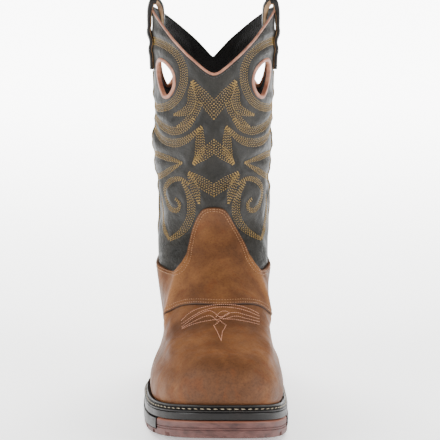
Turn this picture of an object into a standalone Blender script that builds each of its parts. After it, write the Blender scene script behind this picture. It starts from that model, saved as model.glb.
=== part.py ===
"""Western work boot for the right foot: wide square toe, scalloped pull-on shaft, instep saddle.

Run it with blender --background --python part.py, or from Blender's text editor.
Lengths are metres. The toe points along -Y, the inner side of the foot lies towards +X, and +Z is up.
The origin is on the floor, under the middle of the heel.
"""

import math
from collections import namedtuple

import bmesh
import bpy
import numpy as np
from mathutils import Matrix

# The last: the form of the foot that the upper is drawn over
LAST_LENGTH = 0.288
BALL_WIDTH = 0.100
HEEL_WIDTH = 0.068
HEEL_BACK = 0.034
TOE_SPRING = 0.009
TOE_SWING = 0.005
TOE_SKEW = 0.008
RIDGE_SHIFT = 0.005
ARCH_TUCK = 0.005
FORE_HEIGHT = 0.024
HEEL_HEIGHT = 0.041
INSTEP_HEIGHT = 0.120

# The shaft, up to the side peaks of its scalloped collar
SHAFT_HEIGHT = 0.314
SHAFT_WIDTH = 0.103
SHAFT_DEPTH = 0.130
SCALLOP_DEPTH = 0.048
SCALLOP_ROUND = 0.10
SCALLOP_FULL_BACK = 0.72

# Leather and seams
WALL = 0.0022
OVERLAY = 0.0015
SADDLE_OVERLAY = 0.0022
GAP = 0.0003
SEAM_GAP = 0.0004

# The sole, from the welt down to the heel's lift
WELT_MARGIN = 0.0056
HEEL_MARGIN = 0.0034
WELT_THICK = 0.0036
WELT_LIP = 0.0060
STORM_RIB = 0.0014
STORM_RIB_HEIGHT = 0.0019
STORM_RIB_CLEARANCE = 0.0011
MIDSOLE_THICK = 0.0060
OUTSOLE_SHANK = 0.0060
OUTSOLE_STEP = 0.0012
RIB_DEPTH = 0.0006
HEEL_LIFT = 0.0080
HEEL_TAPER = 0.0030
BREAST_AT = 0.742
INSOLE_THICK = 0.0045
INSOLE_CLEARANCE = 0.0008
GUARD_THICK = 0.0026
GUARD_FOOT = 0.0045
LUG_DEPTH = 0.0036
LUG_GROOVE = 0.0042
BAR_GROOVE = 0.0029
LUG_PITCH = 0.0150
LUG_REACH = 0.0150
BAR_WIDTH = 0.040
BAR_DEPTH = 0.0025
BREAST_HOLLOW = 0.006
EDGE_ROUND = 0.0012

# Trim
BINDING_RADIUS = 0.0016
PIPING_RADIUS = 0.0008
STRAP_WIDTH = 0.024
STRAP_THICK = 0.0022
STRAP_RISE = 0.0075
STRAP_LEG = 0.050
HOLE_WIDTH = 0.032
HOLE_HEIGHT = 0.032
HOLE_RIM = 0.0032
HOLE_PROUD = 0.0008
HOLE_DROP = 0.055
HOLE_FROM_SEAM = 0.0375
HOLE_EGG = 0.22
HOLE_TILT = 0.10

# Mesh density. SHIFT_TO_ENDS gathers the columns at the toe and the back, where the plan is tightest
AROUND = 44
SHIFT_TO_ENDS = 0.45
FINE_AROUND = 336
FINE_PER_ROW = 12
SHAFT_ROWS = 4
HOLE_STEPS = 14
CUT_DEEP = 2.0 * WALL
CUT_HIGH = 4.0 * WALL

# Stations along the last, as shares of its length from the toe
BALL_AT = 0.34
WAIST_AT = 0.60
HEEL_AT = 0.84
SPRING_FROM = 0.27
ARCH_FROM = 0.42
ARCH_TO = 0.72
TREAD_TO = 0.54
LUGS_FROM = 0.05
LUGS_TO = 0.45
RIDGE_UP = 0.50

# Sections of the foot, from the welt up to the bend of the instep. front and back say where the
# section starts behind the toe and ends past the heel, and the lead and trail over which it rounds
# off, as shares of LAST_LENGTH. front_up and back_up are shares of INSTEP_HEIGHT above the sole line.
# ball, waist and heel are half widths as shares of half BALL_WIDTH. keep says how closely the section
# follows the sole line, and square and round are the exponents of its toe and heel ends.
Foot = namedtuple("Foot", "name front front_up back back_up keep ball waist heel lead square trail round")
FOOT_SECTIONS = (
    Foot("feather", 0.000, 0.000, 0.000, 0.000, 1.0, 0.980, 0.735, 0.655, 0.30, 2.8, 0.160, 2.1),
    Foot("wall", -0.006, 0.070, 0.005, 0.075, 1.0, 1.010, 0.765, 0.685, 0.30, 2.8, 0.160, 2.1),
    Foot("toe height", 0.001, 0.160, 0.009, 0.170, 1.0, 0.970, 0.795, 0.695, 0.30, 2.8, 0.160, 2.1),
    Foot("shoulder", 0.019, 0.242, 0.009, 0.260, 1.0, 0.870, 0.810, 0.690, 0.30, 2.7, 0.165, 2.1),
    Foot("crown", 0.051, 0.302, 0.006, 0.350, 0.9, 0.820, 0.835, 0.685, 0.31, 2.6, 0.170, 2.1),
    Foot("toe top", 0.113, 0.350, 0.001, 0.440, 0.8, 0.790, 0.865, 0.705, 0.33, 2.3, 0.175, 2.0),
    Foot("vamp", 0.213, 0.430, -0.005, 0.530, 0.7, 0.785, 0.895, 0.755, 0.34, 2.1, 0.180, 2.0),
    Foot("ball top", 0.325, 0.545, -0.011, 0.620, 0.5, 0.800, 0.930, 0.820, 0.32, 2.0, 0.185, 2.0),
    Foot("instep", 0.430, 0.680, -0.016, 0.710, 0.3, 0.845, 0.955, 0.885, 0.29, 2.0, 0.190, 2.0),
    Foot("high instep", 0.503, 0.795, -0.020, 0.800, 0.1, 0.870, 0.955, 0.915, 0.25, 2.0, 0.195, 2.0),
)

# Sections of the shaft: height as a share of SHAFT_HEIGHT, front and back as shares of SHAFT_DEPTH
# ahead of and behind its middle, width as a share of SHAFT_WIDTH, and the exponent of the plan.
Shaft = namedtuple("Shaft", "height front back width plan")
SHAFT_SECTIONS = (
    Shaft(0.453, 0.480, 0.425, 0.920, 2.0),
    Shaft(0.540, 0.435, 0.425, 0.925, 2.0),
    Shaft(0.652, 0.440, 0.440, 0.955, 2.0),
    Shaft(0.775, 0.465, 0.465, 0.965, 2.0),
    Shaft(0.895, 0.500, 0.490, 0.985, 2.0),
    Shaft(1.000, 0.505, 0.505, 1.000, 2.0),
    Shaft(1.100, 0.505, 0.515, 1.005, 2.0),
)
SHAFT_MIDDLE = 0.785

# The saddle's top edge from the middle of its instep tab to the side seam: share of the way round
# from the middle of the front to the seam, and height as a share of SHAFT_HEIGHT
SADDLE_TOP = (
    (0.00, 0.496),
    (0.07, 0.494),
    (0.12, 0.486),
    (0.17, 0.464),
    (0.215, 0.432),
    (0.24, 0.400),
    (0.26, 0.366),
    (0.31, 0.344),
    (0.40, 0.338),
    (0.52, 0.339),
    (0.75, 0.346),
    (1.00, 0.354),
)
COUNTER_PEAK = 0.392
COUNTER_FROM_SEAM = 0.20

# The saddle's front edge: its row at the middle, and how far round and how roundly it falls to the welt
SADDLE_FRONT_ROW = 7.0
SADDLE_FRONT_REACH = 0.360
SADDLE_TOP_STEPS = 16
SADDLE_FRONT_BEND = 2.0

# Where each side guard starts and ends, as a share of the way round from the middle of the toe
GUARD_SPAN = {"outer": (0.085, 0.300), "inner": (0.100, 0.290)}
GUARD_STEPS = 14

# The pull strap's middle line from its sewn outer end over the collar to its inner end: distance
# off the shaft's outer face as a share of STRAP_RISE, and height above the peak over STRAP_LEG
STRAP_LINE = (
    (0.20, -1.00),
    (0.32, -0.66),
    (0.44, -0.34),
    (0.42, -0.06),
    (0.20, 0.085),
    (-0.30, 0.130),
    (-0.94, 0.090),
    (-1.34, -0.06),
    (-1.34, -0.28),
    (-0.98, -0.54),
    (-0.48, -0.80),
)


def smoothstep(x, low, high):
    t = np.clip((x - low) / (high - low), 0.0, 1.0)
    return t * t * (3.0 - 2.0 * t)


def toe_y():
    return HEEL_BACK - LAST_LENGTH


def seam_y():
    return toe_y() + SHAFT_MIDDLE * LAST_LENGTH


def station(y):
    """Share of the last's length behind the toe."""
    return (y - toe_y()) / LAST_LENGTH


def sole_line(y):
    """Height of the welt's top face: toe spring, level tread, then up the arch to the heel seat."""
    t = station(np.asarray(y, float))
    spring = TOE_SPRING * np.clip((SPRING_FROM - t) / SPRING_FROM, 0.0, None) ** 2
    return FORE_HEIGHT + spring + (HEEL_HEIGHT - FORE_HEIGHT) * smoothstep(t, ARCH_FROM, ARCH_TO)


def rounded_end(distance, reach, exponent):
    """Superellipse quarter that grows from 0 at an end to 1 at reach."""
    t = np.clip(distance / reach, 0.0, 1.0)
    return (1.0 - (1.0 - t) ** exponent) ** (1.0 / exponent)


def even_spacing(points, count):
    """Points at equal steps along a line of points."""
    run = np.concatenate([[0.0], np.cumsum(np.linalg.norm(np.diff(points, axis=0), axis=1))])
    wanted = np.linspace(0.0, run[-1], count)
    return np.stack([np.interp(wanted, run, points[:, k]) for k in range(3)], axis=1)


def closed_row(half):
    """One closed loop from a function of the side, -1 for the outer and +1 for the inner side."""
    count = FINE_AROUND // 2 + 1
    outer, inner = (even_spacing(half(side), count) for side in (-1.0, 1.0))
    return np.concatenate([outer[:-1], inner[:0:-1]])


def foot_row(row):
    def half(side):
        start = row.front
        end = 1.0 + row.back
        t = start + (end - start) * (1.0 - np.cos(np.linspace(0.0, math.pi, 400))) / 2.0
        tuck = ARCH_TUCK * row.keep * (side > 0)
        half_ball = BALL_WIDTH / 2.0
        heel_scale = HEEL_WIDTH / (2.0 * FOOT_SECTIONS[0].heel)
        stops = (BALL_AT, WAIST_AT, HEEL_AT)
        widths = (row.ball * half_ball, row.waist * half_ball - tuck, row.heel * heel_scale)
        first = smoothstep(t, stops[0], stops[1])
        second = smoothstep(t, stops[1], stops[2])
        width = widths[0] + (widths[1] - widths[0]) * first + (widths[2] - widths[1]) * second
        width = width * rounded_end(t - start, row.lead, row.square)
        width = width * rounded_end(end - t, row.trail, row.round)
        y = toe_y() + t * LAST_LENGTH
        s = (t - start) / (end - start)
        chord = sole_line(y[0]) * (1.0 - s) + sole_line(y[-1]) * s
        lift = (row.front_up * (1.0 - s) + row.back_up * s) * INSTEP_HEIGHT
        z = chord + lift + row.keep * (sole_line(y) - chord)
        toe_share = np.clip(1.0 - t / BALL_AT, 0.0, None)
        ridge = RIDGE_SHIFT * min(1.0, row.front_up / RIDGE_UP) * (1.0 - smoothstep(t, BALL_AT, ARCH_TO))
        x = side * width + TOE_SWING * toe_share**1.5 + ridge
        y = y - side * TOE_SKEW * toe_share * width / half_ball
        return np.stack([x, y, z], axis=1)

    return closed_row(half)


def shaft_row(row):
    def half(side):
        turn = np.linspace(0.0, math.pi, 400)
        reach = np.where(turn < math.pi / 2.0, row.front, row.back) * SHAFT_DEPTH
        power = 2.0 / row.plan
        y = seam_y() - np.sign(np.cos(turn)) * reach * np.abs(np.cos(turn)) ** power
        x = side * row.width * SHAFT_WIDTH / 2.0 * np.abs(np.sin(turn)) ** power
        return np.stack([x, y, np.full_like(x, row.height * SHAFT_HEIGHT)], axis=1)

    return closed_row(half)


class Skin:
    """The upper's outer face, as a function of u round the boot and v up its sections.

    u is 0 at the middle of the toe, 0.25 on the outer side, 0.5 at the back and 0.75 on the inner side.
    v counts sections from the welt, with all that lies between them on a smooth curve.
    """

    def __init__(self):
        rows = [foot_row(row) for row in FOOT_SECTIONS] + [shaft_row(row) for row in SHAFT_SECTIONS]
        rows = np.array(rows)
        self.top = len(rows) - 1
        self.steps = np.linspace(0.0, self.top, self.top * FINE_PER_ROW + 1)
        low = np.minimum(self.steps.astype(int), self.top - 1)
        t = (self.steps - low)[:, None, None]
        before, after, beyond = np.maximum(low - 1, 0), low + 1, np.minimum(low + 2, self.top)
        a, b, c, d = rows[before], rows[low], rows[after], rows[beyond]
        bend = (2 * a - 5 * b + 4 * c - d) * t**2
        twist = (3 * b - a - 3 * c + d) * t**3
        self.face = 0.5 * (2 * b + (c - a) * t + bend + twist)
        along = np.gradient(self.face, axis=0)
        round_ = np.roll(self.face, -1, axis=1) - np.roll(self.face, 1, axis=1)
        normal = np.cross(along, round_)
        normal /= np.linalg.norm(normal, axis=2, keepdims=True)
        self.normal = normal

    def sample(self, grid, u, v):
        """Values of a grid at u and v, straight between its points."""
        u, v = np.broadcast_arrays(np.asarray(u, float) % 1.0, np.asarray(v, float))
        x = u * FINE_AROUND
        y = np.clip(v, 0.0, self.top) * FINE_PER_ROW
        i = x.astype(int) % FINE_AROUND
        j = np.minimum(y.astype(int), len(self.steps) - 2)
        s, t = (x - np.floor(x))[..., None], (y - j)[..., None]
        k = (i + 1) % FINE_AROUND
        near = grid[j, i] * (1 - s) + grid[j, k] * s
        far = grid[j + 1, i] * (1 - s) + grid[j + 1, k] * s
        return near * (1 - t) + far * t

    def at(self, u, v, off=0.0):
        """Points off metres outside the face."""
        return self.sample(self.face, u, v) + np.asarray(off)[..., None] * self.sample(self.normal, u, v)

    def v_at(self, u, z):
        """v where the face is at height z, for each u."""
        u, z = np.broadcast_arrays(np.asarray(u, float), np.asarray(z, float))
        found = [np.interp(h, self.at(a, self.steps)[:, 2], self.steps) for a, h in zip(u.ravel(), z.ravel())]
        return np.array(found).reshape(u.shape)

    def u_seam(self, z):
        """u of the outer side seam, which stands upright over the shaft's middle, at height z."""
        half = np.linspace(0.12, 0.45, 67)
        row = self.at(half, self.v_at(half, np.full_like(half, z)))
        return float(np.interp(seam_y(), row[:, 1], half))

    def u_round(self, share, z):
        """u on the outer side at height z: share 0 at the front, 1 at the side seam and 2 at the back."""
        seam = self.u_seam(z)
        ends = (0.0, seam) if share <= 1.0 else (seam, 0.5)
        half = np.linspace(*ends, 61)
        row = self.at(half, self.v_at(half, np.full_like(half, z)))
        run = np.concatenate([[0.0], np.cumsum(np.linalg.norm(np.diff(row, axis=0), axis=1))])
        part = share if share <= 1.0 else share - 1.0
        return float(np.interp(part * run[-1], run, half))


SKIN = Skin()
TURN = np.arange(AROUND) / AROUND
COLUMNS = TURN - SHIFT_TO_ENDS * np.sin(4.0 * math.pi * TURN) / (4.0 * math.pi)
ANKLE_ROW = len(FOOT_SECTIONS)


def collar_height(u):
    """The collar's rim: low at the front and back, fuller behind, with its peaks at the side seams."""
    wave = np.sqrt(np.sin(2.0 * math.pi * np.asarray(u)) ** 2 + SCALLOP_ROUND**2)
    share = (wave - SCALLOP_ROUND) / (math.sqrt(1.0 + SCALLOP_ROUND**2) - SCALLOP_ROUND)
    bend = np.where(np.cos(2.0 * math.pi * np.asarray(u)) < 0.0, SCALLOP_FULL_BACK, 1.0)
    return SHAFT_HEIGHT - SCALLOP_DEPTH * (1.0 - share**bend)


def edge_margin(y):
    """How far the welt stands out from the upper: wide in front, narrow round the heel."""
    return WELT_MARGIN + (HEEL_MARGIN - WELT_MARGIN) * smoothstep(station(y), WAIST_AT, HEEL_AT)


def sole_loop(inset, height, columns=COLUMNS):
    """A loop at the sole's edge, moved in by inset, at the height that a function of y gives."""
    foot = SKIN.at(columns, 0.0)
    side = SKIN.sample(SKIN.normal, columns, 0.0) * np.array([1.0, 1.0, 0.0])
    side /= np.linalg.norm(side, axis=1, keepdims=True)
    loop = foot + side * (OVERLAY + edge_margin(foot[:, 1]) - inset)[:, None]
    loop[:, 2] = height(loop[:, 1])
    return loop


def lining_loop(inset, height):
    """A loop inside the upper's wall, moved in by inset."""
    foot = SKIN.at(COLUMNS, 0.0)
    side = SKIN.sample(SKIN.normal, COLUMNS, 0.0) * np.array([1.0, 1.0, 0.0])
    side /= np.linalg.norm(side, axis=1, keepdims=True)
    loop = foot - side * (WALL + inset)
    loop[:, 2] = height(loop[:, 1])
    return loop


def collection(name):
    made = bpy.data.collections.new(name)
    bpy.context.scene.collection.children.link(made)
    return made


def material(name, colour, roughness, metallic=0.0):
    made = bpy.data.materials.new(name)
    made.use_nodes = True
    shader = made.node_tree.nodes["Principled BSDF"]
    shader.inputs["Base Color"].default_value = (*colour, 1.0)
    shader.inputs["Roughness"].default_value = roughness
    shader.inputs["Metallic"].default_value = metallic
    return made


def object_from(bm, name, into, finish=None, sharp=40.0):
    """An object from a bmesh, with its faces turned out."""
    bmesh.ops.recalc_face_normals(bm, faces=bm.faces)
    mesh = bpy.data.meshes.new(name)
    bm.to_mesh(mesh)
    bm.free()
    made = bpy.data.objects.new(name, mesh)
    into.objects.link(made)
    if finish:
        mesh.materials.append(finish)
        mesh.shade_smooth()
        mesh.set_sharp_from_angle(angle=math.radians(sharp))
    return made


def ladder(bm, ring):
    """Closes a ring with rungs from its outer to its inner side, so that the cap follows its curve."""
    count = len(ring)
    half = count // 2
    bm.faces.new((ring[0], ring[1], ring[-1]))
    for i in range(1, half - 1):
        bm.faces.new((ring[i], ring[i + 1], ring[count - i - 1], ring[count - i]))
    bm.faces.new((ring[half - 1], ring[half], ring[half + 1]))


def loft(loops, caps=True, around=False):
    """Skins loops of equal count, with one diagonal throughout, so that parallel skins stay parallel."""
    bm = bmesh.new()
    rings = [[bm.verts.new(p) for p in loop] for loop in loops]
    pairs = list(zip(rings, rings[1:]))
    if around:
        pairs.append((rings[-1], rings[0]))
    for low, high in pairs:
        for i in range(len(low)):
            k = (i + 1) % len(low)
            bm.faces.new((low[i], low[k], high[k]))
            bm.faces.new((low[i], high[k], high[i]))
    if caps and not around:
        ladder(bm, rings[0])
        ladder(bm, rings[-1])
    return bm


def ribbon(points):
    """An open surface through rows of points."""
    bm = bmesh.new()
    rows, across = len(points), len(points[0])
    bmesh.ops.create_grid(bm, x_segments=across - 1, y_segments=rows - 1, size=1.0)
    bm.verts.ensure_lookup_table()
    for index, vert in enumerate(bm.verts):
        vert.co = points[index // across][index % across]
    return bm


def boolean(piece, cutter, operation):
    cutter.hide_render = True
    cutter.display_type = "WIRE"
    made = piece.modifiers.new(operation.title(), "BOOLEAN")
    made.operation = operation
    made.object = cutter
    return made


def tube(name, points, radius, into, finish, closed=False):
    """A round cord of leather along a line of points."""
    curve = bpy.data.curves.new(name, "CURVE")
    curve.dimensions = "3D"
    curve.bevel_depth = radius
    curve.bevel_resolution = 1
    curve.use_fill_caps = not closed
    spline = curve.splines.new("POLY")
    spline.points.add(len(points) - 1)
    for point, place in zip(spline.points, points):
        point.co = (*place, 1.0)
    spline.use_cyclic_u = closed
    made = bpy.data.objects.new(name, curve)
    into.objects.link(made)
    curve.materials.append(finish)
    return made


def upper_rows():
    """v of each row of the upper's mesh, for every column: the sections, then up to the collar."""
    rim = SKIN.v_at(COLUMNS, collar_height(COLUMNS))
    shares = np.linspace(0.0, 1.0, SHAFT_ROWS + 1)[1:]
    rows = [np.full(AROUND, float(v)) for v in range(ANKLE_ROW + 1)]
    return rows + [ANKLE_ROW + (rim - ANKLE_ROW) * share for share in shares]


def boot_form(off, drop, top):
    """A closed form on the upper's own rows, off metres outside it, from drop metres below the welt."""
    loops = [SKIN.at(COLUMNS, row, off) for row in upper_rows()[: top + 1]]
    loops[0][:, 2] = sole_line(loops[0][:, 1]) + GAP
    under = loops[0].copy()
    under[:, 2] -= drop
    return loft([under] + loops if drop else loops)


def hole_loop(seam, ahead, inset, off):
    """The egg-shaped outline of a pull hole beside a side seam, wide above and narrow below."""
    steps = np.linspace(0.0, 2.0 * math.pi, HOLE_STEPS, endpoint=False)
    shaft = SKIN.at(np.append(TURN, 1.0), SKIN.v_at(0.0, hole_z()))
    around = np.sum(np.linalg.norm(np.diff(shaft, axis=0), axis=1))
    up = np.cos(steps)
    out = np.sin(steps) * (1.0 + HOLE_EGG * up)
    u = seam + ahead * (HOLE_FROM_SEAM + out * (HOLE_WIDTH / 2.0 - inset)) / around
    z = hole_z() + up * (HOLE_HEIGHT / 2.0 - inset) - out * HOLE_TILT * HOLE_HEIGHT
    return SKIN.at(u, SKIN.v_at(u, z), off)


def hole_z():
    return SHAFT_HEIGHT - HOLE_DROP


def holes():
    """Name, seam and direction round the shaft of each pull hole."""
    for side, seam in (("outer", 0.25), ("inner", 0.75)):
        for place, step in (("front", -1.0), ("back", 1.0)):
            yield f"{side}_{place}", seam, step if seam < 0.5 else -step


def make_upper(parts, cutters, finish):
    loops = [SKIN.at(COLUMNS, row) for row in upper_rows()]
    loops[0][:, 2] = sole_line(loops[0][:, 1]) + GAP
    upper = object_from(loft(loops, caps=False), "upper", parts, finish)
    wall = upper.modifiers.new("Wall", "SOLIDIFY")
    wall.thickness = WALL
    wall.offset = -1.0
    wall.use_even_offset = True
    for name, seam, step in holes():
        loops = [hole_loop(seam, step, 0.0, off) for off in (-CUT_HIGH, CUT_HIGH)]
        boolean(upper, object_from(loft(loops), f"hole_{name}", cutters), "DIFFERENCE")
    return upper


def make_hole_bindings(parts, finish):
    for name, seam, step in holes():
        outside, inside = HOLE_PROUD, -WALL - HOLE_PROUD
        profile = ((GAP, outside), (HOLE_RIM, outside), (HOLE_RIM, inside), (GAP, inside))
        loops = [hole_loop(seam, step, inset, off) for inset, off in profile]
        object_from(loft(loops, around=True), f"pull_hole_binding_{name}", parts, finish)


def spread(rows, count):
    """A smooth line through table rows, as count rows."""
    table = np.array(rows)
    run = np.concatenate([[0.0], np.cumsum(np.linalg.norm(np.diff(table, axis=0), axis=1))])
    wanted = np.linspace(0.0, run[-1], count)
    slopes = np.gradient(table, run, axis=0)
    low = np.clip(np.searchsorted(run, wanted, side="right") - 1, 0, len(run) - 2)
    size = (run[low + 1] - run[low])[:, None]
    t = (wanted - run[low])[:, None] / size
    ends = table[low] * (2 * t**3 - 3 * t**2 + 1) + table[low + 1] * (3 * t**2 - 2 * t**3)
    return ends + size * (slopes[low] * (t**3 - 2 * t**2 + t) + slopes[low + 1] * (t**3 - t**2))


def saddle_front(u):
    """v of the saddle's front edge: across the vamp and down to the welt at the waist."""
    away = np.minimum(u, 1.0 - u)
    return SADDLE_FRONT_ROW * np.clip(1.0 - (away / SADDLE_FRONT_REACH) ** SADDLE_FRONT_BEND, 0.0, None)


def counter_height(share):
    """Height of the counter's top edge, from the side seam at 1 to its peak at the back at 2."""
    start = SADDLE_TOP[-1][1]
    return SHAFT_HEIGHT * (start + (COUNTER_PEAK - start) * smoothstep(share, 1.0, 2.0))


def saddle_columns():
    """u, lowest v and top v of the saddle's columns on the outer side, from the middle to the counter."""
    line = [(share, height * SHAFT_HEIGHT) for share, height in spread(SADDLE_TOP, SADDLE_TOP_STEPS)]
    line += [(share, counter_height(share)) for share in np.linspace(1.0, 1.0 + COUNTER_FROM_SEAM, 5)[1:]]
    columns = []
    for share, z in line:
        u = SKIN.u_round(share, z)
        columns.append((u, float(saddle_front(u)), float(SKIN.v_at(u, z))))
    return columns


def counter_columns():
    """u, lowest v and top v of the counter's columns, from one side round the back to the other."""
    half = []
    start = 1.0 + COUNTER_FROM_SEAM + SEAM_GAP / SHAFT_DEPTH * 2.0
    for share in np.linspace(start, 2.0, 9):
        z = counter_height(share)
        u = SKIN.u_round(share, z)
        half.append((u, 0.0, float(SKIN.v_at(u, z))))
    return half + [(1.0 - u, low, top) for u, low, top in reversed(half[:-1])]


def region(columns, name, into):
    """A thick patch of the boot between two heights of each column, which cuts an overlay's outline."""
    bm = bmesh.new()
    rows = []
    for u, low, top in columns:
        v = np.linspace(low, top, 6)
        column = [SKIN.at(u, v, off) for off in (-CUT_DEEP, CUT_HIGH)]
        if low <= 0.0:
            for face in column:
                face[0, 2] -= CUT_HIGH
        rows.append([[bm.verts.new(p) for p in face] for face in column])
    for (deep_a, high_a), (deep_b, high_b) in zip(rows, rows[1:]):
        for i in range(len(deep_a) - 1):
            bm.faces.new((deep_a[i], deep_a[i + 1], deep_b[i + 1], deep_b[i]))
            bm.faces.new((high_a[i], high_b[i], high_b[i + 1], high_a[i + 1]))
        for i in (0, -1):
            bm.faces.new((deep_a[i], deep_b[i], high_b[i], high_a[i]))
    for deep_end, high_end in (rows[0], rows[-1]):
        for i in range(len(deep_end) - 1):
            bm.faces.new((deep_end[i], deep_end[i + 1], high_end[i + 1], high_end[i]))
    return object_from(bm, name, into)


def row_step(u, v, distance):
    """How much v changes over a distance up the face."""
    step = 0.05
    span = np.linalg.norm(SKIN.at(u, v + step) - SKIN.at(u, v - step))
    return distance * 2.0 * step / span


def mirrored(half):
    """Columns of one side and their mirror images, in order round the toe."""
    return [(1.0 - u, low, top) for u, low, top in reversed(half)] + [c for c in half if c[0] > 0.0]


def vamp_columns():
    """The vamp's columns: the saddle's own, so that the two edges run side by side."""
    half = [(u, 0.0, low - row_step(u, low, SEAM_GAP)) for u, low, _ in saddle_columns() if low > 0.0]
    return mirrored([column for column in half if column[2] > 0.0])


def make_overlays(parts, cutters, finish):
    top = ANKLE_ROW + 2
    skins = {"vamp": OVERLAY, "saddle": SADDLE_OVERLAY, "counter": OVERLAY}
    outlines = {"vamp": vamp_columns(), "saddle": mirrored(saddle_columns()), "counter": counter_columns()}
    for name, columns in outlines.items():
        piece = object_from(boot_form(GAP + skins[name], 0.0, top), name, parts, finish)
        core = object_from(boot_form(GAP, CUT_HIGH, top + 1), f"{name}_core", cutters)
        boolean(piece, region(columns, f"{name}_outline", cutters), "INTERSECT")
        boolean(piece, core, "DIFFERENCE")


def under_welt(y):
    return sole_line(y) - WELT_THICK - GAP


def under_midsole(y):
    return under_welt(y) - MIDSOLE_THICK - GAP


def tread(y):
    """The outsole's underside: on the floor under the ball, thin under the arch and the heel."""
    fore = sole_line(y) - FORE_HEIGHT
    thin = under_midsole(y) - OUTSOLE_SHANK
    return fore + (thin - fore) * smoothstep(station(y), ARCH_FROM, TREAD_TO)


def between(low, high, share):
    """A height function part of the way from one to another."""
    return lambda y: low(y) + (high(y) - low(y)) * share


def make_welt(parts, finish):
    """A strip round the whole foot, with the storm rib that stands up beside the upper."""
    top, bottom = sole_line, lambda y: sole_line(y) - WELT_THICK
    rib_top = lambda y: sole_line(y) + STORM_RIB_HEIGHT
    inner = edge_margin(toe_y()) + WELT_LIP
    edge = OVERLAY + edge_margin(SKIN.at(COLUMNS, 0.0)[:, 1])
    rib = edge - SADDLE_OVERLAY - STORM_RIB_CLEARANCE
    rows = (
        (inner, bottom),
        (inner, top),
        (rib, top),
        (rib, rib_top),
        (rib - STORM_RIB, rib_top),
        (rib - STORM_RIB, top),
        (0.0, top),
        (0.0, bottom),
    )
    loops = [sole_loop(inset, height) for inset, height in rows]
    object_from(loft(loops, around=True), "welt", parts, finish)


def make_midsole(parts, finish):
    """Rubber between welt and outsole, with a raised bed that fills the space inside the welt."""
    bed = edge_margin(toe_y()) + WELT_LIP + GAP
    base = lambda y: under_welt(y) - MIDSOLE_THICK
    rows = (
        (0.0, base),
        (0.0, under_welt),
        (bed, under_welt),
        (bed, sole_line),
    )
    object_from(loft([sole_loop(inset, height) for inset, height in rows]), "midsole", parts, finish)


def make_insole(parts, finish):
    low = lambda y: sole_line(y) + GAP
    high = lambda y: sole_line(y) + GAP + INSOLE_THICK
    loops = [lining_loop(INSOLE_CLEARANCE, low), lining_loop(INSOLE_CLEARANCE, high)]
    object_from(loft(loops), "insole", parts, finish)


def guard_span(name):
    """u from the toe's corner to the waist on one side of the sole."""
    span = np.linspace(*GUARD_SPAN[name], GUARD_STEPS)
    return span if name == "outer" else np.sort(1.0 - span)


def guard_rows(inner, outer, foot, head):
    """The four edges of a guard: inset and height at each."""
    return ((inner, foot), (outer, foot), (outer, head), (inner, head))


def guard_block(span, rows, name, into, finish=None):
    """A band along part of the sole's edge, closed at both ends."""
    edges = [sole_loop(inset, height, span) for inset, height in rows]
    sections = np.stack(edges, axis=1)
    bm = bmesh.new()
    rings = [[bm.verts.new(p) for p in section] for section in sections]
    for near, far in zip(rings, rings[1:]):
        for i in range(4):
            k = (i + 1) % 4
            bm.faces.new((near[i], near[k], far[k], far[i]))
    bm.faces.new(rings[0])
    bm.faces.new(rings[-1])
    return object_from(bm, name, into, finish, sharp=30.0)


def lug_cutters(cutters):
    """Grooves across the tread's edge and between the bars of its middle."""
    bm = bmesh.new()
    loop = sole_loop(0.0, tread)
    middle_x = TOE_SWING / 2.0
    count = int((LUGS_TO - LUGS_FROM) * LAST_LENGTH / LUG_PITCH)
    for t in np.linspace(LUGS_FROM, LUGS_TO, count):
        y = toe_y() + t * LAST_LENGTH
        for side in (-1.0, 1.0):
            half = loop[np.sign(loop[:, 0] - middle_x) == side]
            order = np.argsort(half[:, 1])
            x = float(np.interp(y, half[order, 1], half[order, 0]))
            size = (2.0 * LUG_REACH, LUG_GROOVE, 2.0 * LUG_DEPTH)
            place = Matrix.Translation((x, y, float(tread(y)))) @ Matrix.Diagonal((*size, 1.0))
            bmesh.ops.create_cube(bm, size=1.0, matrix=place)
        between_lugs = y + LUG_PITCH / 2.0
        size = (BAR_WIDTH, BAR_GROOVE, 2.0 * BAR_DEPTH)
        place = Matrix.Translation((middle_x, between_lugs, float(tread(between_lugs))))
        bmesh.ops.create_cube(bm, size=1.0, matrix=place @ Matrix.Diagonal((*size, 1.0)))
    return object_from(bm, "lug_grooves", cutters)


def make_outsole(parts, cutters, finish, guard_finish):
    rib = RIB_DEPTH
    rows = (
        (EDGE_ROUND, 0.00),
        (0.0, 0.16),
        (0.0, 0.46),
        (rib, 0.52),
        (rib, 0.58),
        (0.0, 0.64),
        (0.0, 0.90),
        (OUTSOLE_STEP, 1.00),
    )
    loops = [sole_loop(inset, between(tread, under_midsole, share)) for inset, share in rows]
    outsole = object_from(loft(loops), "outsole", parts, finish, sharp=25.0)
    foot = lambda y: tread(y) + GUARD_FOOT
    head = under_midsole
    for name in GUARD_SPAN:
        span = guard_span(name)
        wide = span.copy()
        wide[0] -= GAP / LAST_LENGTH
        wide[-1] += GAP / LAST_LENGTH
        seat = guard_rows(GUARD_THICK + GAP, -WALL, lambda y: foot(y) - GAP, lambda y: head(y) + WALL)
        boolean(outsole, guard_block(wide, seat, f"guard_seat_{name}", cutters), "DIFFERENCE")
        shape = guard_rows(GUARD_THICK, -RIB_DEPTH, foot, lambda y: head(y) - GAP)
        guard_block(span, shape, f"side_guard_{name}", parts, guard_finish)
    boolean(outsole, lug_cutters(cutters), "DIFFERENCE")
    return outsole


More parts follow.
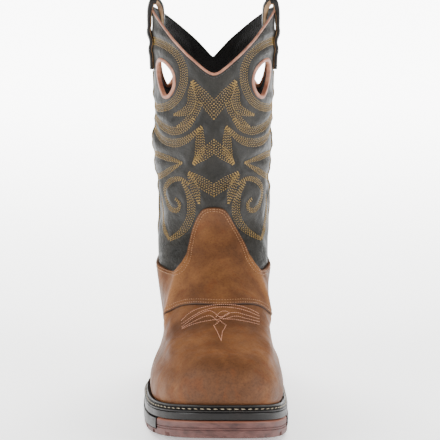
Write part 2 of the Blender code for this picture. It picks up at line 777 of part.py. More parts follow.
def heel_cutter(name, cutters):
    """All that lies ahead of the heel's breast, which is hollowed a little."""
    bm = bmesh.new()
    breast = toe_y() + BREAST_AT * LAST_LENGTH
    steps = np.linspace(-1.0, 1.0, 9)
    line = [(x * BALL_WIDTH, breast + BREAST_HOLLOW * max(0.0, 1.0 - (2.2 * x) ** 2)) for x in steps]
    outline = line + [(BALL_WIDTH, toe_y() - BALL_WIDTH), (-BALL_WIDTH, toe_y() - BALL_WIDTH)]
    low = [bm.verts.new((x, y, -HEEL_LIFT)) for x, y in outline]
    high = [bm.verts.new((x, y, HEEL_HEIGHT)) for x, y in outline]
    bm.faces.new(low)
    bm.faces.new(high)
    for i in range(len(outline)):
        k = (i + 1) % len(outline)
        bm.faces.new((low[i], low[k], high[k], high[i]))
    return object_from(bm, name, cutters)


def make_heel(parts, cutters, block_finish, lift_finish):
    """The heel block and its rubber lift, cut off square at the breast."""
    seat = HEEL_HEIGHT - WELT_THICK - MIDSOLE_THICK - OUTSOLE_SHANK - 3.0 * GAP
    stations = ((seat, OUTSOLE_STEP), (HEEL_LIFT + GAP, HEEL_TAPER))
    lift = ((HEEL_LIFT, HEEL_TAPER), (EDGE_ROUND, HEEL_TAPER), (0.0, HEEL_TAPER + EDGE_ROUND))
    for name, rows, finish in (("heel_block", stations, block_finish), ("heel_lift", lift, lift_finish)):
        loops = [sole_loop(inset, lambda y, z=z: np.full_like(y, z)) for z, inset in reversed(rows)]
        piece = object_from(loft(loops), name, parts, finish, sharp=25.0)
        boolean(piece, heel_cutter(f"{name}_breast", cutters), "DIFFERENCE")


def make_collar_binding(parts, finish):
    v = SKIN.v_at(COLUMNS, collar_height(COLUMNS))
    rim = SKIN.at(COLUMNS, v, -WALL / 2.0)
    along = np.roll(rim, -1, axis=0) - np.roll(rim, 1, axis=0)
    up = np.cross(SKIN.sample(SKIN.normal, COLUMNS, v), along)
    up *= np.sign(up[:, 2:]) / np.linalg.norm(up, axis=1, keepdims=True)
    line = rim + up * (BINDING_RADIUS + 2.0 * GAP)
    tube("collar_binding", line, BINDING_RADIUS, parts, finish, closed=True)


def make_side_piping(parts, finish):
    low = SHAFT_HEIGHT * SADDLE_TOP[-1][1] + PIPING_RADIUS + GAP
    high = SHAFT_HEIGHT - STRAP_LEG - STRAP_THICK
    z = np.linspace(low, high, 14)
    seam = np.array([SKIN.u_seam(height) for height in z])
    for name, u in (("outer", seam), ("inner", 1.0 - seam)):
        line = SKIN.at(u, SKIN.v_at(u, z), PIPING_RADIUS + 2.0 * GAP)
        tube(f"side_piping_{name}", line, PIPING_RADIUS, parts, finish)


def make_pull_straps(parts, finish):
    around = SHAFT_WIDTH + SHAFT_DEPTH
    half = STRAP_WIDTH / 2.0 / (around * math.pi / 2.0)
    seat = GAP + STRAP_THICK / 2.0
    line = spread(STRAP_LINE, 18)
    for name, seam in (("outer", 0.25), ("inner", 0.75)):
        rows = []
        for share, height in line:
            off = share * STRAP_RISE
            off = max(off, seat) if height < 0.0 and share > 0.0 else off
            off = min(off, -WALL - seat) if height < 0.0 and share < 0.0 else off
            u = seam + np.linspace(-half, half, 4)
            rows.append(SKIN.at(u, SKIN.v_at(u, SHAFT_HEIGHT + height * STRAP_LEG), off))
        strap = object_from(ribbon(rows), f"pull_strap_{name}", parts, finish)
        thick = strap.modifiers.new("Leather", "SOLIDIFY")
        thick.thickness = STRAP_THICK
        thick.offset = 0.0


def main():
    for old in list(bpy.data.objects):
        bpy.data.objects.remove(old)
    parts, cutters = collection("western_work_boot"), collection("cutters")
    shaft = material("charcoal grained leather", (0.060, 0.059, 0.056), 0.55)
    brown = material("oiled brown leather", (0.235, 0.120, 0.055), 0.60)
    binding = material("salmon binding leather", (0.560, 0.290, 0.190), 0.50)
    black = material("black rubber", (0.025, 0.023, 0.022), 0.45)
    mauve = material("mauve brown rubber", (0.240, 0.140, 0.125), 0.55)
    board = material("grey footbed", (0.090, 0.085, 0.080), 0.90)
    make_upper(parts, cutters, shaft)
    make_overlays(parts, cutters, brown)
    make_hole_bindings(parts, binding)
    make_collar_binding(parts, binding)
    make_side_piping(parts, shaft)
    make_pull_straps(parts, shaft)
    make_insole(parts, board)
    make_welt(parts, black)
    make_midsole(parts, black)
    make_outsole(parts, cutters, mauve, black)
    make_heel(parts, cutters, black, mauve)


main()
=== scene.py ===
# %% [markdown]
# # A western work boot
# A pull-on work boot is drawn over a last, the wooden or plastic form of a foot. The leather upper is
# sewn from panels, stretched over the last, and closed underneath by a welt, a midsole and an outsole.
# We follow the same order: first the form of the last, then the leather over it, then the sole, and the
# thread at the end. Everything is measured in metres, with the toe towards -Y and +Z up.

# %% Tools and frame
import math
from collections import namedtuple

import bmesh
import bpy
import numpy as np
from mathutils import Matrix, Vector
from mathutils.kdtree import KDTree


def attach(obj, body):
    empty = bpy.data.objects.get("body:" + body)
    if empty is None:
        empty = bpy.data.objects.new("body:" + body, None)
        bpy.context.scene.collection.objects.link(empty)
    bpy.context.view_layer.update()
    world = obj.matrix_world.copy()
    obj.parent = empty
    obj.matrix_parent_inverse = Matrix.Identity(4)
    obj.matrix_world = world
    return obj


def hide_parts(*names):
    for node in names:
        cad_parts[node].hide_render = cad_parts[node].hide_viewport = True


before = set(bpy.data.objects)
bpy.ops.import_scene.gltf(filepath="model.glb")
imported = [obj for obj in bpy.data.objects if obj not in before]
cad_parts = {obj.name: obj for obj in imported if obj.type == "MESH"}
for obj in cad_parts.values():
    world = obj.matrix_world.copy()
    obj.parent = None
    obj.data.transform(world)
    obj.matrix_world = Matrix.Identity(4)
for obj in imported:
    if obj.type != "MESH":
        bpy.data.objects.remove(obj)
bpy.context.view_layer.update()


def put(name, data):
    """An object in the scene for the data of a camera, a lamp or a mesh."""
    made = bpy.data.objects.new(name, data)
    bpy.context.scene.collection.objects.link(made)
    return made


# %% [markdown]
# ## Camera
# The photograph is taken with a long lens from about knee height, straight at the toe and slightly down.
# A long lens keeps the shaft from shrinking away behind the toe. The lens, height and tilt below bring the
# collar's dips, the welt and the sides of the shaft to their places in the picture.

# %% Camera
CAMERA_PLACE = (-0.012, -1.754, 0.460)
CAMERA_TILT_DOWN = math.radians(10.7)
CAMERA_TURN = math.radians(-0.4)
SENSOR_MM = 36.0
LENS_MM = 168.8
CAMERA_SHIFT = 0.0148
CLIP_END = 60.0

camera_data = bpy.data.cameras.new("camera")
camera_data.sensor_width = SENSOR_MM
camera_data.lens = LENS_MM
camera_data.shift_x = CAMERA_SHIFT
camera_data.clip_end = CLIP_END
camera = put("camera", camera_data)
camera.location = CAMERA_PLACE
camera.rotation_euler = (math.pi / 2.0 - CAMERA_TILT_DOWN, 0.0, CAMERA_TURN)
bpy.context.scene.camera = camera
print("camera at", CAMERA_PLACE)

# %% [markdown]
# ## Colours and shader nodes
# Colours are written as sRGB hex values, as a colour picker shows them. Blender's shaders work in linear
# light, so one function turns them. A second small function adds a shader node, sets its values and joins
# it to others: every material below is built with it.

# %% Colour and node helpers
def hex_colour(text):
    """A linear colour from an sRGB hex value."""
    parts = [int(text[i : i + 2], 16) / 255.0 for i in (1, 3, 5)]
    linear = [p / 12.92 if p <= 0.04045 else ((p + 0.055) / 1.055) ** 2.4 for p in parts]
    return (*linear, 1.0)


def add_node(tree, kind, settings=None, links=None, **inputs):
    """Adds a node. settings are its own properties, inputs its socket values by name with _ for spaces,
    and links a dictionary from its input sockets to other nodes' output sockets."""
    made = tree.nodes.new(kind)
    for name, value in (settings or {}).items():
        setattr(made, name, value)
    for name, value in inputs.items():
        made.inputs[name.replace("_", " ")].default_value = value
    for socket, source in (links or {}).items():
        tree.links.new(source, made.inputs[socket])
    return made


def ramp(tree, source, *stops):
    """A colour ramp from (place, colour) pairs, read by a factor."""
    made = add_node(tree, "ShaderNodeValToRGB", links={0: source})
    band = made.color_ramp
    while len(band.elements) < len(stops):
        band.elements.new(0.5)
    for element, (place, colour) in zip(band.elements, stops):
        element.position = place
        element.color = hex_colour(colour)
    return made.outputs["Color"]


def mix(tree, factor, first, second, blend="MIX"):
    """Mixes two colour sockets by a factor, which is a socket or a number."""
    made = add_node(tree, "ShaderNodeMix", {"data_type": "RGBA", "blend_type": blend})
    tree.links.new(first, made.inputs[6])
    tree.links.new(second, made.inputs[7])
    if isinstance(factor, float):
        made.inputs[0].default_value = factor
    else:
        tree.links.new(factor, made.inputs[0])
    return made.outputs[2]


def new_material(name, roughness, **shader_values):
    """A material with one Principled shader, whose plain values sit on its own sockets."""
    made = bpy.data.materials.new(name)
    made.use_nodes = True
    shader = made.node_tree.nodes["Principled BSDF"]
    shader.inputs["Roughness"].default_value = roughness
    for key, value in shader_values.items():
        shader.inputs[key.replace("_", " ")].default_value = value
    return made, made.node_tree


def finished(made, colour, bumps, rough=None):
    """Joins a finish's colour, relief and, where it varies, roughness to its material's shader."""
    tree = made.node_tree
    for name, source in (("Base Color", colour), ("Normal", bumps), ("Roughness", rough)):
        if source is not None:
            tree.links.new(source, tree.nodes["Principled BSDF"].inputs[name])
    return made


def place_node(tree, scale=(1.0, 1.0, 1.0), turn=(0.0, 0.0, 0.0)):
    """Object coordinates, stretched or turned."""
    coordinates = add_node(tree, "ShaderNodeTexCoord")
    mapping = add_node(tree, "ShaderNodeMapping", Scale=scale, Rotation=turn,
                       links={0: coordinates.outputs["Object"]})
    return mapping.outputs[0]


def noise(tree, vector, size, detail=3.0, roughness=0.55, distortion=0.0):
    """Soft noise whose features are about size metres across."""
    made = add_node(tree, "ShaderNodeTexNoise", Scale=1.0 / size, Detail=detail, Roughness=roughness,
                    Distortion=distortion, links={0: vector})
    return made.outputs["Fac"]


def bump(tree, height, depth, strength=1.0, normal=None):
    """Relief of depth metres from a height between 0 and 1."""
    links = {"Height": height}
    if normal is not None:
        links["Normal"] = normal
    return add_node(tree, "ShaderNodeBump", Strength=strength, Distance=depth, links=links).outputs[0]


# %% [markdown]
# ## Values in a finish
# More helpers read a value stored on a piece's own points, bend a value, do a sum, and hold one colour.

# %% Value helpers
def attribute(tree, name):
    """A value stored on the piece's own points."""
    return add_node(tree, "ShaderNodeAttribute", {"attribute_name": name}).outputs["Fac"]


def curve_of(tree, value, low, high, to_low=0.0, to_high=1.0):
    """A value taken smoothly from one range to another."""
    made = add_node(tree, "ShaderNodeMapRange", {"interpolation_type": "SMOOTHSTEP"}, {"Value": value})
    for name, number in (("From Min", low), ("From Max", high), ("To Min", to_low), ("To Max", to_high)):
        made.inputs[name].default_value = number
    return made.outputs["Result"]


def sums(tree, operation, first, second):
    """One sum of two values, each a socket or a number."""
    made = add_node(tree, "ShaderNodeMath", {"operation": operation})
    for index, value in enumerate((first, second)):
        if isinstance(value, float):
            made.inputs[index].default_value = value
        else:
            tree.links.new(value, made.inputs[index])
    return made.outputs[0]


def rgb(tree, colour):
    """A colour as a socket."""
    made = add_node(tree, "ShaderNodeRGB")
    made.outputs[0].default_value = hex_colour(colour)
    return made.outputs[0]


print("mid grey in linear light:", round(hex_colour("#808080")[0], 3))

# %% [markdown]
# ## Floor and light
# The boot stands on a pale sweep. A large soft lamp stands on each side of it and a weak one in front.
# Three more hang over the floor behind it for the sweep alone: glossy leather doesn't mirror them. The
# sweep glows a little by itself, so that it stays pale around the sole. Soft lamps leave wide, dull
# highlights on oiled leather and a brighter line along rubber edges.

# %% Floor and lights
FLOOR_HALF = 14.0
FLOOR_GLOW = 0.45
FLOOR_ROUGH = 0.9
FLOOR_SHINE = 0.1
FLOOR_WHITE = "#FAFAF9"
WORLD_WHITE = "#FFFFFF"
WORLD_GREY = 0.25

# Every lamp is a rectangle, turned from its place towards its aim. mirrored says whether glossy surfaces
# show it.
Lamp = namedtuple("Lamp", "name place aim width height watts mirrored")
BOOT_MIDDLE = (0.0, -0.12, 0.14)
LAMPS = (
    Lamp("left bank", (-1.35, -0.75, 0.60), BOOT_MIDDLE, 0.9, 1.1, 34.0, True),
    Lamp("right bank", (1.35, -0.75, 0.60), BOOT_MIDDLE, 0.9, 1.1, 32.0, True),
    Lamp("front", (0.1, -2.3, 0.75), BOOT_MIDDLE, 1.2, 0.7, 14.0, True),
    Lamp("sweep near", (0.0, 1.20, 1.5), (0.0, 1.75, 0.0), 3.2, 0.7, 100.0, False),
    Lamp("sweep middle", (0.0, 2.2, 2.0), (0.0, 2.3, 0.0), 4.0, 1.6, 330.0, False),
    Lamp("sweep far", (0.0, 5.0, 2.6), (0.0, 5.3, 0.0), 6.0, 3.0, 1100.0, False),
)


def hang(lamp):
    """Hangs one lamp in its place."""
    light = bpy.data.lights.new(lamp.name, "AREA")
    light.shape = "RECTANGLE"
    light.size = lamp.width
    light.size_y = lamp.height
    light.energy = lamp.watts
    made = put(lamp.name, light)
    made.location = lamp.place
    made.rotation_euler = (Vector(lamp.aim) - Vector(lamp.place)).to_track_quat("-Z", "Y").to_euler()
    made.visible_glossy = lamp.mirrored


floor_finish, _ = new_material(
    "white studio sweep", FLOOR_ROUGH, Base_Color=hex_colour(FLOOR_WHITE), Specular_IOR_Level=FLOOR_SHINE,
    Emission_Color=hex_colour(WORLD_WHITE), Emission_Strength=FLOOR_GLOW)
floor_mesh = bpy.data.meshes.new("floor")
floor_corners = [(x * FLOOR_HALF, y * FLOOR_HALF, 0.0) for x, y in ((-1, -1), (1, -1), (1, 1), (-1, 1))]
floor_mesh.from_pydata(floor_corners, [], [(0, 1, 2, 3)])
floor_mesh.materials.append(floor_finish)
floor = put("floor", floor_mesh)

world = bpy.data.worlds.new("studio")
world.use_nodes = True
world.node_tree.nodes["Background"].inputs["Color"].default_value = hex_colour(WORLD_WHITE)
world.node_tree.nodes["Background"].inputs["Strength"].default_value = WORLD_GREY
bpy.context.scene.world = world
for lamp in LAMPS:
    hang(lamp)
print(len(LAMPS), "lamps over a floor of", 2.0 * FLOOR_HALF, "metres")

# %% [markdown]
# ## The last and the shaft
# The foot part is given by sections from the welt up to the bend of the instep, and the shaft by level
# sections above it. They are the CAD part's own sections, so that every piece here lies where the part
# says, but the skin between them is much finer. Lengths of the last set its toe, ball, waist and heel.

# %% Sizes of the last and the shaft
# The last: the form of the foot that the upper is drawn over
LAST_LENGTH = 0.288
BALL_WIDTH = 0.100
HEEL_WIDTH = 0.068
HEEL_BACK = 0.034
TOE_SPRING = 0.009
TOE_SWING = 0.005
TOE_SKEW = 0.008
RIDGE_SHIFT = 0.005
ARCH_TUCK = 0.005
FORE_HEIGHT = 0.024
HEEL_HEIGHT = 0.041
INSTEP_HEIGHT = 0.120

# The shaft, up to the side peaks of its scalloped collar
SHAFT_HEIGHT = 0.314
SHAFT_WIDTH = 0.103
SHAFT_DEPTH = 0.130
SCALLOP_DEPTH = 0.048
SCALLOP_ROUND = 0.10
SCALLOP_FULL_BACK = 0.72

# Leather and seams
WALL = 0.0022
OVERLAY = 0.0015
SADDLE_OVERLAY = 0.0022
GAP = 0.0003
SEAM_GAP = 0.0004

# %% [markdown]
# ## Sizes of the sole and the trim
# The sole's layers are given by their own thickness, and the trim by the strips and rolls a maker cuts.

# %% Sizes of the sole and the trim
# The sole, from the welt down to the heel's lift
WELT_MARGIN = 0.0056
HEEL_MARGIN = 0.0034
WELT_THICK = 0.0036
WELT_LIP = 0.0060
STORM_RIB = 0.0014
STORM_RIB_HEIGHT = 0.0019
STORM_RIB_CLEARANCE = 0.0011
MIDSOLE_THICK = 0.0060
OUTSOLE_SHANK = 0.0060
OUTSOLE_STEP = 0.0012
HEEL_LIFT = 0.0080
HEEL_TAPER = 0.0030
BREAST_AT = 0.742
INSOLE_THICK = 0.0045
INSOLE_CLEARANCE = 0.0008
GUARD_THICK = 0.0026
GUARD_FOOT = 0.0045
LUG_DEPTH = 0.0036
LUG_GROOVE = 0.0042
BAR_GROOVE = 0.0029
LUG_PITCH = 0.0150
LUG_REACH = 0.0150
BAR_WIDTH = 0.040
BAR_DEPTH = 0.0025
BREAST_HOLLOW = 0.006
EDGE_ROUND = 0.0012

# Trim
PIPING_RADIUS = 0.0008
STRAP_WIDTH = 0.024
STRAP_THICK = 0.0022
STRAP_RISE = 0.0075
STRAP_LEG = 0.050
HOLE_WIDTH = 0.032
HOLE_HEIGHT = 0.032
HOLE_RIM = 0.0032
HOLE_PROUD = 0.0008
HOLE_DROP = 0.055
HOLE_FROM_SEAM = 0.0375
HOLE_EGG = 0.22
HOLE_TILT = 0.10

# Mesh density. SHIFT_TO_ENDS gathers the columns at the toe and the back, where the plan is tightest
SHIFT_TO_ENDS = 0.45
FINE_AROUND = 480
FINE_PER_ROW = 24

# Stations along the last, as shares of its length from the toe
BALL_AT = 0.34
WAIST_AT = 0.60
HEEL_AT = 0.84
SPRING_FROM = 0.27
ARCH_FROM = 0.42
ARCH_TO = 0.72
TREAD_TO = 0.54
LUGS_FROM = 0.05
LUGS_TO = 0.45
RIDGE_UP = 0.50

# %% [markdown]
# ## Sections
# Ten sections of the foot and seven of the shaft give the whole form of the boot.

# %% Sections
# Sections of the foot, from the welt up to the bend of the instep. front and back say where the
# section starts behind the toe and ends past the heel, and the lead and trail over which it rounds
# off, as shares of LAST_LENGTH. front_up and back_up are shares of INSTEP_HEIGHT above the sole line.
# ball, waist and heel are half widths as shares of half BALL_WIDTH. keep says how closely the section
# follows the sole line, and square and round are the exponents of its toe and heel ends.
Foot = namedtuple("Foot", "name front front_up back back_up keep ball waist heel lead square trail round")
FOOT_SECTIONS = (
    Foot("feather", 0.000, 0.000, 0.000, 0.000, 1.0, 0.980, 0.735, 0.655, 0.30, 2.8, 0.160, 2.1),
    Foot("wall", -0.006, 0.070, 0.005, 0.075, 1.0, 1.010, 0.765, 0.685, 0.30, 2.8, 0.160, 2.1),
    Foot("toe height", 0.001, 0.160, 0.009, 0.170, 1.0, 0.970, 0.795, 0.695, 0.30, 2.8, 0.160, 2.1),
    Foot("shoulder", 0.019, 0.242, 0.009, 0.260, 1.0, 0.870, 0.810, 0.690, 0.30, 2.7, 0.165, 2.1),
    Foot("crown", 0.051, 0.302, 0.006, 0.350, 0.9, 0.820, 0.835, 0.685, 0.31, 2.6, 0.170, 2.1),
    Foot("toe top", 0.113, 0.350, 0.001, 0.440, 0.8, 0.790, 0.865, 0.705, 0.33, 2.3, 0.175, 2.0),
    Foot("vamp", 0.213, 0.430, -0.005, 0.530, 0.7, 0.785, 0.895, 0.755, 0.34, 2.1, 0.180, 2.0),
    Foot("ball top", 0.325, 0.545, -0.011, 0.620, 0.5, 0.800, 0.930, 0.820, 0.32, 2.0, 0.185, 2.0),
    Foot("instep", 0.430, 0.680, -0.016, 0.710, 0.3, 0.845, 0.955, 0.885, 0.29, 2.0, 0.190, 2.0),
    Foot("high instep", 0.503, 0.795, -0.020, 0.800, 0.1, 0.870, 0.955, 0.915, 0.25, 2.0, 0.195, 2.0),
)

# Sections of the shaft: height as a share of SHAFT_HEIGHT, front and back as shares of SHAFT_DEPTH
# ahead of and behind its middle, width as a share of SHAFT_WIDTH, and the exponent of the plan.
Shaft = namedtuple("Shaft", "height front back width plan")
SHAFT_SECTIONS = (
    Shaft(0.453, 0.480, 0.425, 0.920, 2.0),
    Shaft(0.540, 0.435, 0.425, 0.925, 2.0),
    Shaft(0.652, 0.440, 0.440, 0.955, 2.0),
    Shaft(0.775, 0.465, 0.465, 0.965, 2.0),
    Shaft(0.895, 0.500, 0.490, 0.985, 2.0),
    Shaft(1.000, 0.505, 0.505, 1.000, 2.0),
    Shaft(1.100, 0.505, 0.515, 1.005, 2.0),
)
SHAFT_MIDDLE = 0.785
print(len(FOOT_SECTIONS), "sections of the foot and", len(SHAFT_SECTIONS), "of the shaft")

# %% [markdown]
# ## Cutting lines
# The overlays are cut along lines on the boot: the saddle's top and front edges, the counter's peak, the
# ends of the side guards and the middle line of a pull strap.

# %% Cutting lines
# The saddle's top edge from the middle of its instep tab to the side seam: share of the way round
# from the middle of the front to the seam, and height as a share of SHAFT_HEIGHT
SADDLE_TOP = (
    (0.00, 0.496), (0.07, 0.494), (0.12, 0.486), (0.17, 0.464), (0.215, 0.432), (0.24, 0.400),
    (0.26, 0.366), (0.31, 0.344), (0.40, 0.338), (0.52, 0.339), (0.75, 0.346), (1.00, 0.354),
)
COUNTER_PEAK = 0.392
COUNTER_FROM_SEAM = 0.20

# The saddle's front edge: its row at the middle, and how far round and how roundly it falls to the welt
SADDLE_FRONT_ROW = 7.0
SADDLE_FRONT_REACH = 0.360
SADDLE_FRONT_BEND = 2.0

# Where each side guard starts and ends, as a share of the way round from the middle of the toe
GUARD_SPAN = {"outer": (0.085, 0.300), "inner": (0.100, 0.290)}

# The pull strap's middle line from its sewn outer end over the collar to its inner end: distance
# off the shaft's outer face as a share of STRAP_RISE, and height above the peak over STRAP_LEG
STRAP_LINE = (
    (0.20, -1.00), (0.32, -0.66), (0.44, -0.34), (0.42, -0.06), (0.20, 0.085), (-0.30, 0.130),
    (-0.94, 0.090), (-1.34, -0.06), (-1.34, -0.28), (-0.98, -0.54), (-0.48, -0.80),
)
print(len(SADDLE_TOP), "points of the saddle's top edge,", len(STRAP_LINE), "of a strap")

# %% [markdown]
# ## Creases in the leather
# A worn boot bends where the foot bends. The saddle folds away from the tab down both sides, the vamp
# dips across the toes' joints, and the ankle and the shaft fall in soft folds. Each crease below is a
# line on the boot, given as points, with its width and its height: a ridge is above zero and a trough
# below. They are added to the skin itself, so seams, overlays and stitches follow them. Places, widths
# and heights are in millimetres. A crease of LIFT_UNIT counts as a full lift for the leather's colour.

# %% Creases
Crease = namedtuple("Crease", "name width height points")
MM = 0.001
LIFT_UNIT = 0.0015
CREASES = (
    Crease("outer saddle ridge", 6.0, 2.4, ((-24, -108, 113), (-32, -124, 92), (-40, -134, 70))),
    Crease("inner saddle ridge", 6.0, 2.2, ((28, -106, 112), (36, -120, 92), (43, -130, 72))),
    Crease("outer saddle hollow", 10.0, -1.3, ((-34, -96, 108), (-40, -104, 88), (-42, -110, 66))),
    Crease("inner saddle hollow", 10.0, -1.2, ((38, -90, 106), (44, -100, 86), (44, -108, 66))),
    Crease("toe joint hollow", 12.0, -1.5, (
        (-32, -166, 70), (-14, -176, 80), (6, -180, 82), (26, -174, 79), (38, -164, 70))),
    Crease("behind the toe box", 9.0, 0.7, ((-30, -194, 66), (4, -206, 74), (34, -192, 67))),
    Crease("ankle fold outer", 10.0, -1.6, ((-40, -70, 128), (-46, -40, 138), (-40, -8, 136))),
    Crease("ankle fold inner", 10.0, -1.5, ((42, -66, 126), (46, -38, 134), (40, -6, 134))),
    Crease("back fold", 11.0, -1.5, ((-26, 12, 150), (0, 20, 146), (26, 12, 150))),
    Crease("back roll", 11.0, 1.2, ((-24, 14, 166), (0, 22, 164), (24, 14, 168))),
    Crease("outer shaft dent", 14.0, -2.2, ((-49, -34, 158), (-47, -44, 150))),
    Crease("outer shaft swell", 18.0, 1.6, ((-50, -30, 206), (-48, -44, 196))),
    Crease("inner shaft dent", 14.0, -1.8, ((49, -34, 176), (47, -44, 164))),
    Crease("front shaft swell", 18.0, 0.8, ((-22, -84, 212), (-12, -86, 172))),
    Crease("front shaft hollow", 16.0, -0.9, ((18, -84, 228), (26, -80, 200))),
    Crease("shaft side hollow", 20.0, -0.9, ((-44, -6, 236), (-42, 4, 200))),
    Crease("inner side hollow", 20.0, -0.9, ((46, -2, 232), (43, 6, 196))),
    Crease("front fold high", 8.0, -1.0, ((-40, -70, 232), (-18, -84, 226), (8, -87, 231))),
    Crease("front fold high ridge", 8.0, 0.9, ((-38, -72, 218), (-10, -87, 214), (16, -86, 222))),
    Crease("front fold low", 8.0, -1.1, ((-30, -82, 178), (2, -90, 184), (34, -80, 176))),
    Crease("front fold low ridge", 8.0, 0.9, ((-32, -82, 164), (0, -92, 170), (32, -82, 162))),
    Crease("outer slant fold", 8.0, -1.3, ((-50, -26, 222), (-46, -50, 206), (-34, -72, 196))),
    Crease("inner slant fold", 8.0, -1.3, ((50, -24, 214), (46, -50, 198), (34, -74, 188))),
    Crease("outer ankle roll", 8.0, 1.2, ((-46, -50, 170), (-40, -66, 162), (-28, -82, 152))),
    Crease("inner ankle roll", 8.0, 1.2, ((46, -50, 172), (40, -66, 160), (28, -82, 150))),
)


def along_crease(points, crease):
    """Each point's nearness to the crease's line, 1 on the line and 0 a few widths away."""
    line = np.array(crease.points) * MM
    nearest = np.full(points.shape[:-1], np.inf)
    for start, end in zip(line, line[1:]):
        step = end - start
        share = np.clip((points - start) @ step / (step @ step), 0.0, 1.0)
        away = np.linalg.norm(points - start - share[..., None] * step, axis=-1)
        nearest = np.minimum(nearest, away)
    return np.exp(-((nearest / (crease.width * MM)) ** 2))


def relief(points):
    """Height of the creases at points of the plain skin."""
    return sum(crease.height * MM * along_crease(points, crease) for crease in CREASES)


print(len(CREASES), "creases:", ", ".join(crease.name for crease in CREASES))

# %% [markdown]
# ## Rows of the form
# Each section becomes one closed row of points, the same number in every row, so that the rows can be
# joined to a skin. The row is built as two halves, because the inner side has an arch and a wider ball.

# %% Rows of the form
HALF_STEPS = 400


def smoothstep(x, low, high):
    """A smooth rise from 0 at low to 1 at high."""
    t = np.clip((x - low) / (high - low), 0.0, 1.0)
    return t * t * (3.0 - 2.0 * t)


def toe_y():
    """The tip of the last."""
    return HEEL_BACK - LAST_LENGTH


def seam_y():
    """The shaft's side seams."""
    return toe_y() + SHAFT_MIDDLE * LAST_LENGTH


def station(y):
    """Share of the last's length behind the toe."""
    return (y - toe_y()) / LAST_LENGTH


def sole_line(y):
    """Height of the welt's top face: toe spring, level tread, then up the arch to the heel seat."""
    t = station(np.asarray(y, float))
    spring = TOE_SPRING * np.clip((SPRING_FROM - t) / SPRING_FROM, 0.0, None) ** 2
    return FORE_HEIGHT + spring + (HEEL_HEIGHT - FORE_HEIGHT) * smoothstep(t, ARCH_FROM, ARCH_TO)


def rounded_end(distance, reach, exponent):
    """Superellipse quarter that grows from 0 at an end to 1 at reach."""
    t = np.clip(distance / reach, 0.0, 1.0)
    return (1.0 - (1.0 - t) ** exponent) ** (1.0 / exponent)


def distance_along(points):
    """The distance run along a line of points, at each of them."""
    return np.concatenate([[0.0], np.cumsum(np.linalg.norm(np.diff(points, axis=0), axis=1))])


def even_spacing(points, count):
    """Points at equal steps along a line of points."""
    run = distance_along(points)
    wanted = np.linspace(0.0, run[-1], count)
    return np.stack([np.interp(wanted, run, points[:, k]) for k in range(3)], axis=1)


def closed_row(half):
    """One closed loop from a function of the side, -1 for the outer and +1 for the inner side."""
    count = FINE_AROUND // 2 + 1
    outer, inner = (even_spacing(half(side), count) for side in (-1.0, 1.0))
    return np.concatenate([outer[:-1], inner[:0:-1]])


def foot_row(row):
    """A closed row of points round the last, from a section of the foot."""

    def half(side):
        start = row.front
        end = 1.0 + row.back
        t = start + (end - start) * (1.0 - np.cos(np.linspace(0.0, math.pi, HALF_STEPS))) / 2.0
        tuck = ARCH_TUCK * row.keep * (side > 0)
        half_ball = BALL_WIDTH / 2.0
        heel_scale = HEEL_WIDTH / (2.0 * FOOT_SECTIONS[0].heel)
        stops = (BALL_AT, WAIST_AT, HEEL_AT)
        widths = (row.ball * half_ball, row.waist * half_ball - tuck, row.heel * heel_scale)
        first = smoothstep(t, stops[0], stops[1])
        second = smoothstep(t, stops[1], stops[2])
        width = widths[0] + (widths[1] - widths[0]) * first + (widths[2] - widths[1]) * second
        width = width * rounded_end(t - start, row.lead, row.square)
        width = width * rounded_end(end - t, row.trail, row.round)
        y = toe_y() + t * LAST_LENGTH
        s = (t - start) / (end - start)
        chord = sole_line(y[0]) * (1.0 - s) + sole_line(y[-1]) * s
        lift = (row.front_up * (1.0 - s) + row.back_up * s) * INSTEP_HEIGHT
        z = chord + lift + row.keep * (sole_line(y) - chord)
        toe_share = np.clip(1.0 - t / BALL_AT, 0.0, None)
        ridge = RIDGE_SHIFT * min(1.0, row.front_up / RIDGE_UP) * (1.0 - smoothstep(t, BALL_AT, ARCH_TO))
        x = side * width + TOE_SWING * toe_share**1.5 + ridge
        y = y - side * TOE_SKEW * toe_share * width / half_ball
        return np.stack([x, y, z], axis=1)

    return closed_row(half)


def shaft_row(row):
    """A closed level row of points round the shaft, from a section of the shaft."""

    def half(side):
        turn = np.linspace(0.0, math.pi, HALF_STEPS)
        reach = np.where(turn < math.pi / 2.0, row.front, row.back) * SHAFT_DEPTH
        power = 2.0 / row.plan
        y = seam_y() - np.sign(np.cos(turn)) * reach * np.abs(np.cos(turn)) ** power
        x = side * row.width * SHAFT_WIDTH / 2.0 * np.abs(np.sin(turn)) ** power
        return np.stack([x, y, np.full_like(x, row.height * SHAFT_HEIGHT)], axis=1)

    return closed_row(half)


print("rows of", FINE_AROUND, "points")

# %% [markdown]
# ## The skin
# The skin is one smooth surface: u runs round the boot from the middle of the toe over the outer side and
# the back, and v counts sections from the welt upwards. Between sections it follows a Catmull-Rom curve,
# which passes through every section without a corner.

# %% The skin
# The side seams are looked for between these two values of u
SEAM_LOOK = (0.12, 0.45)


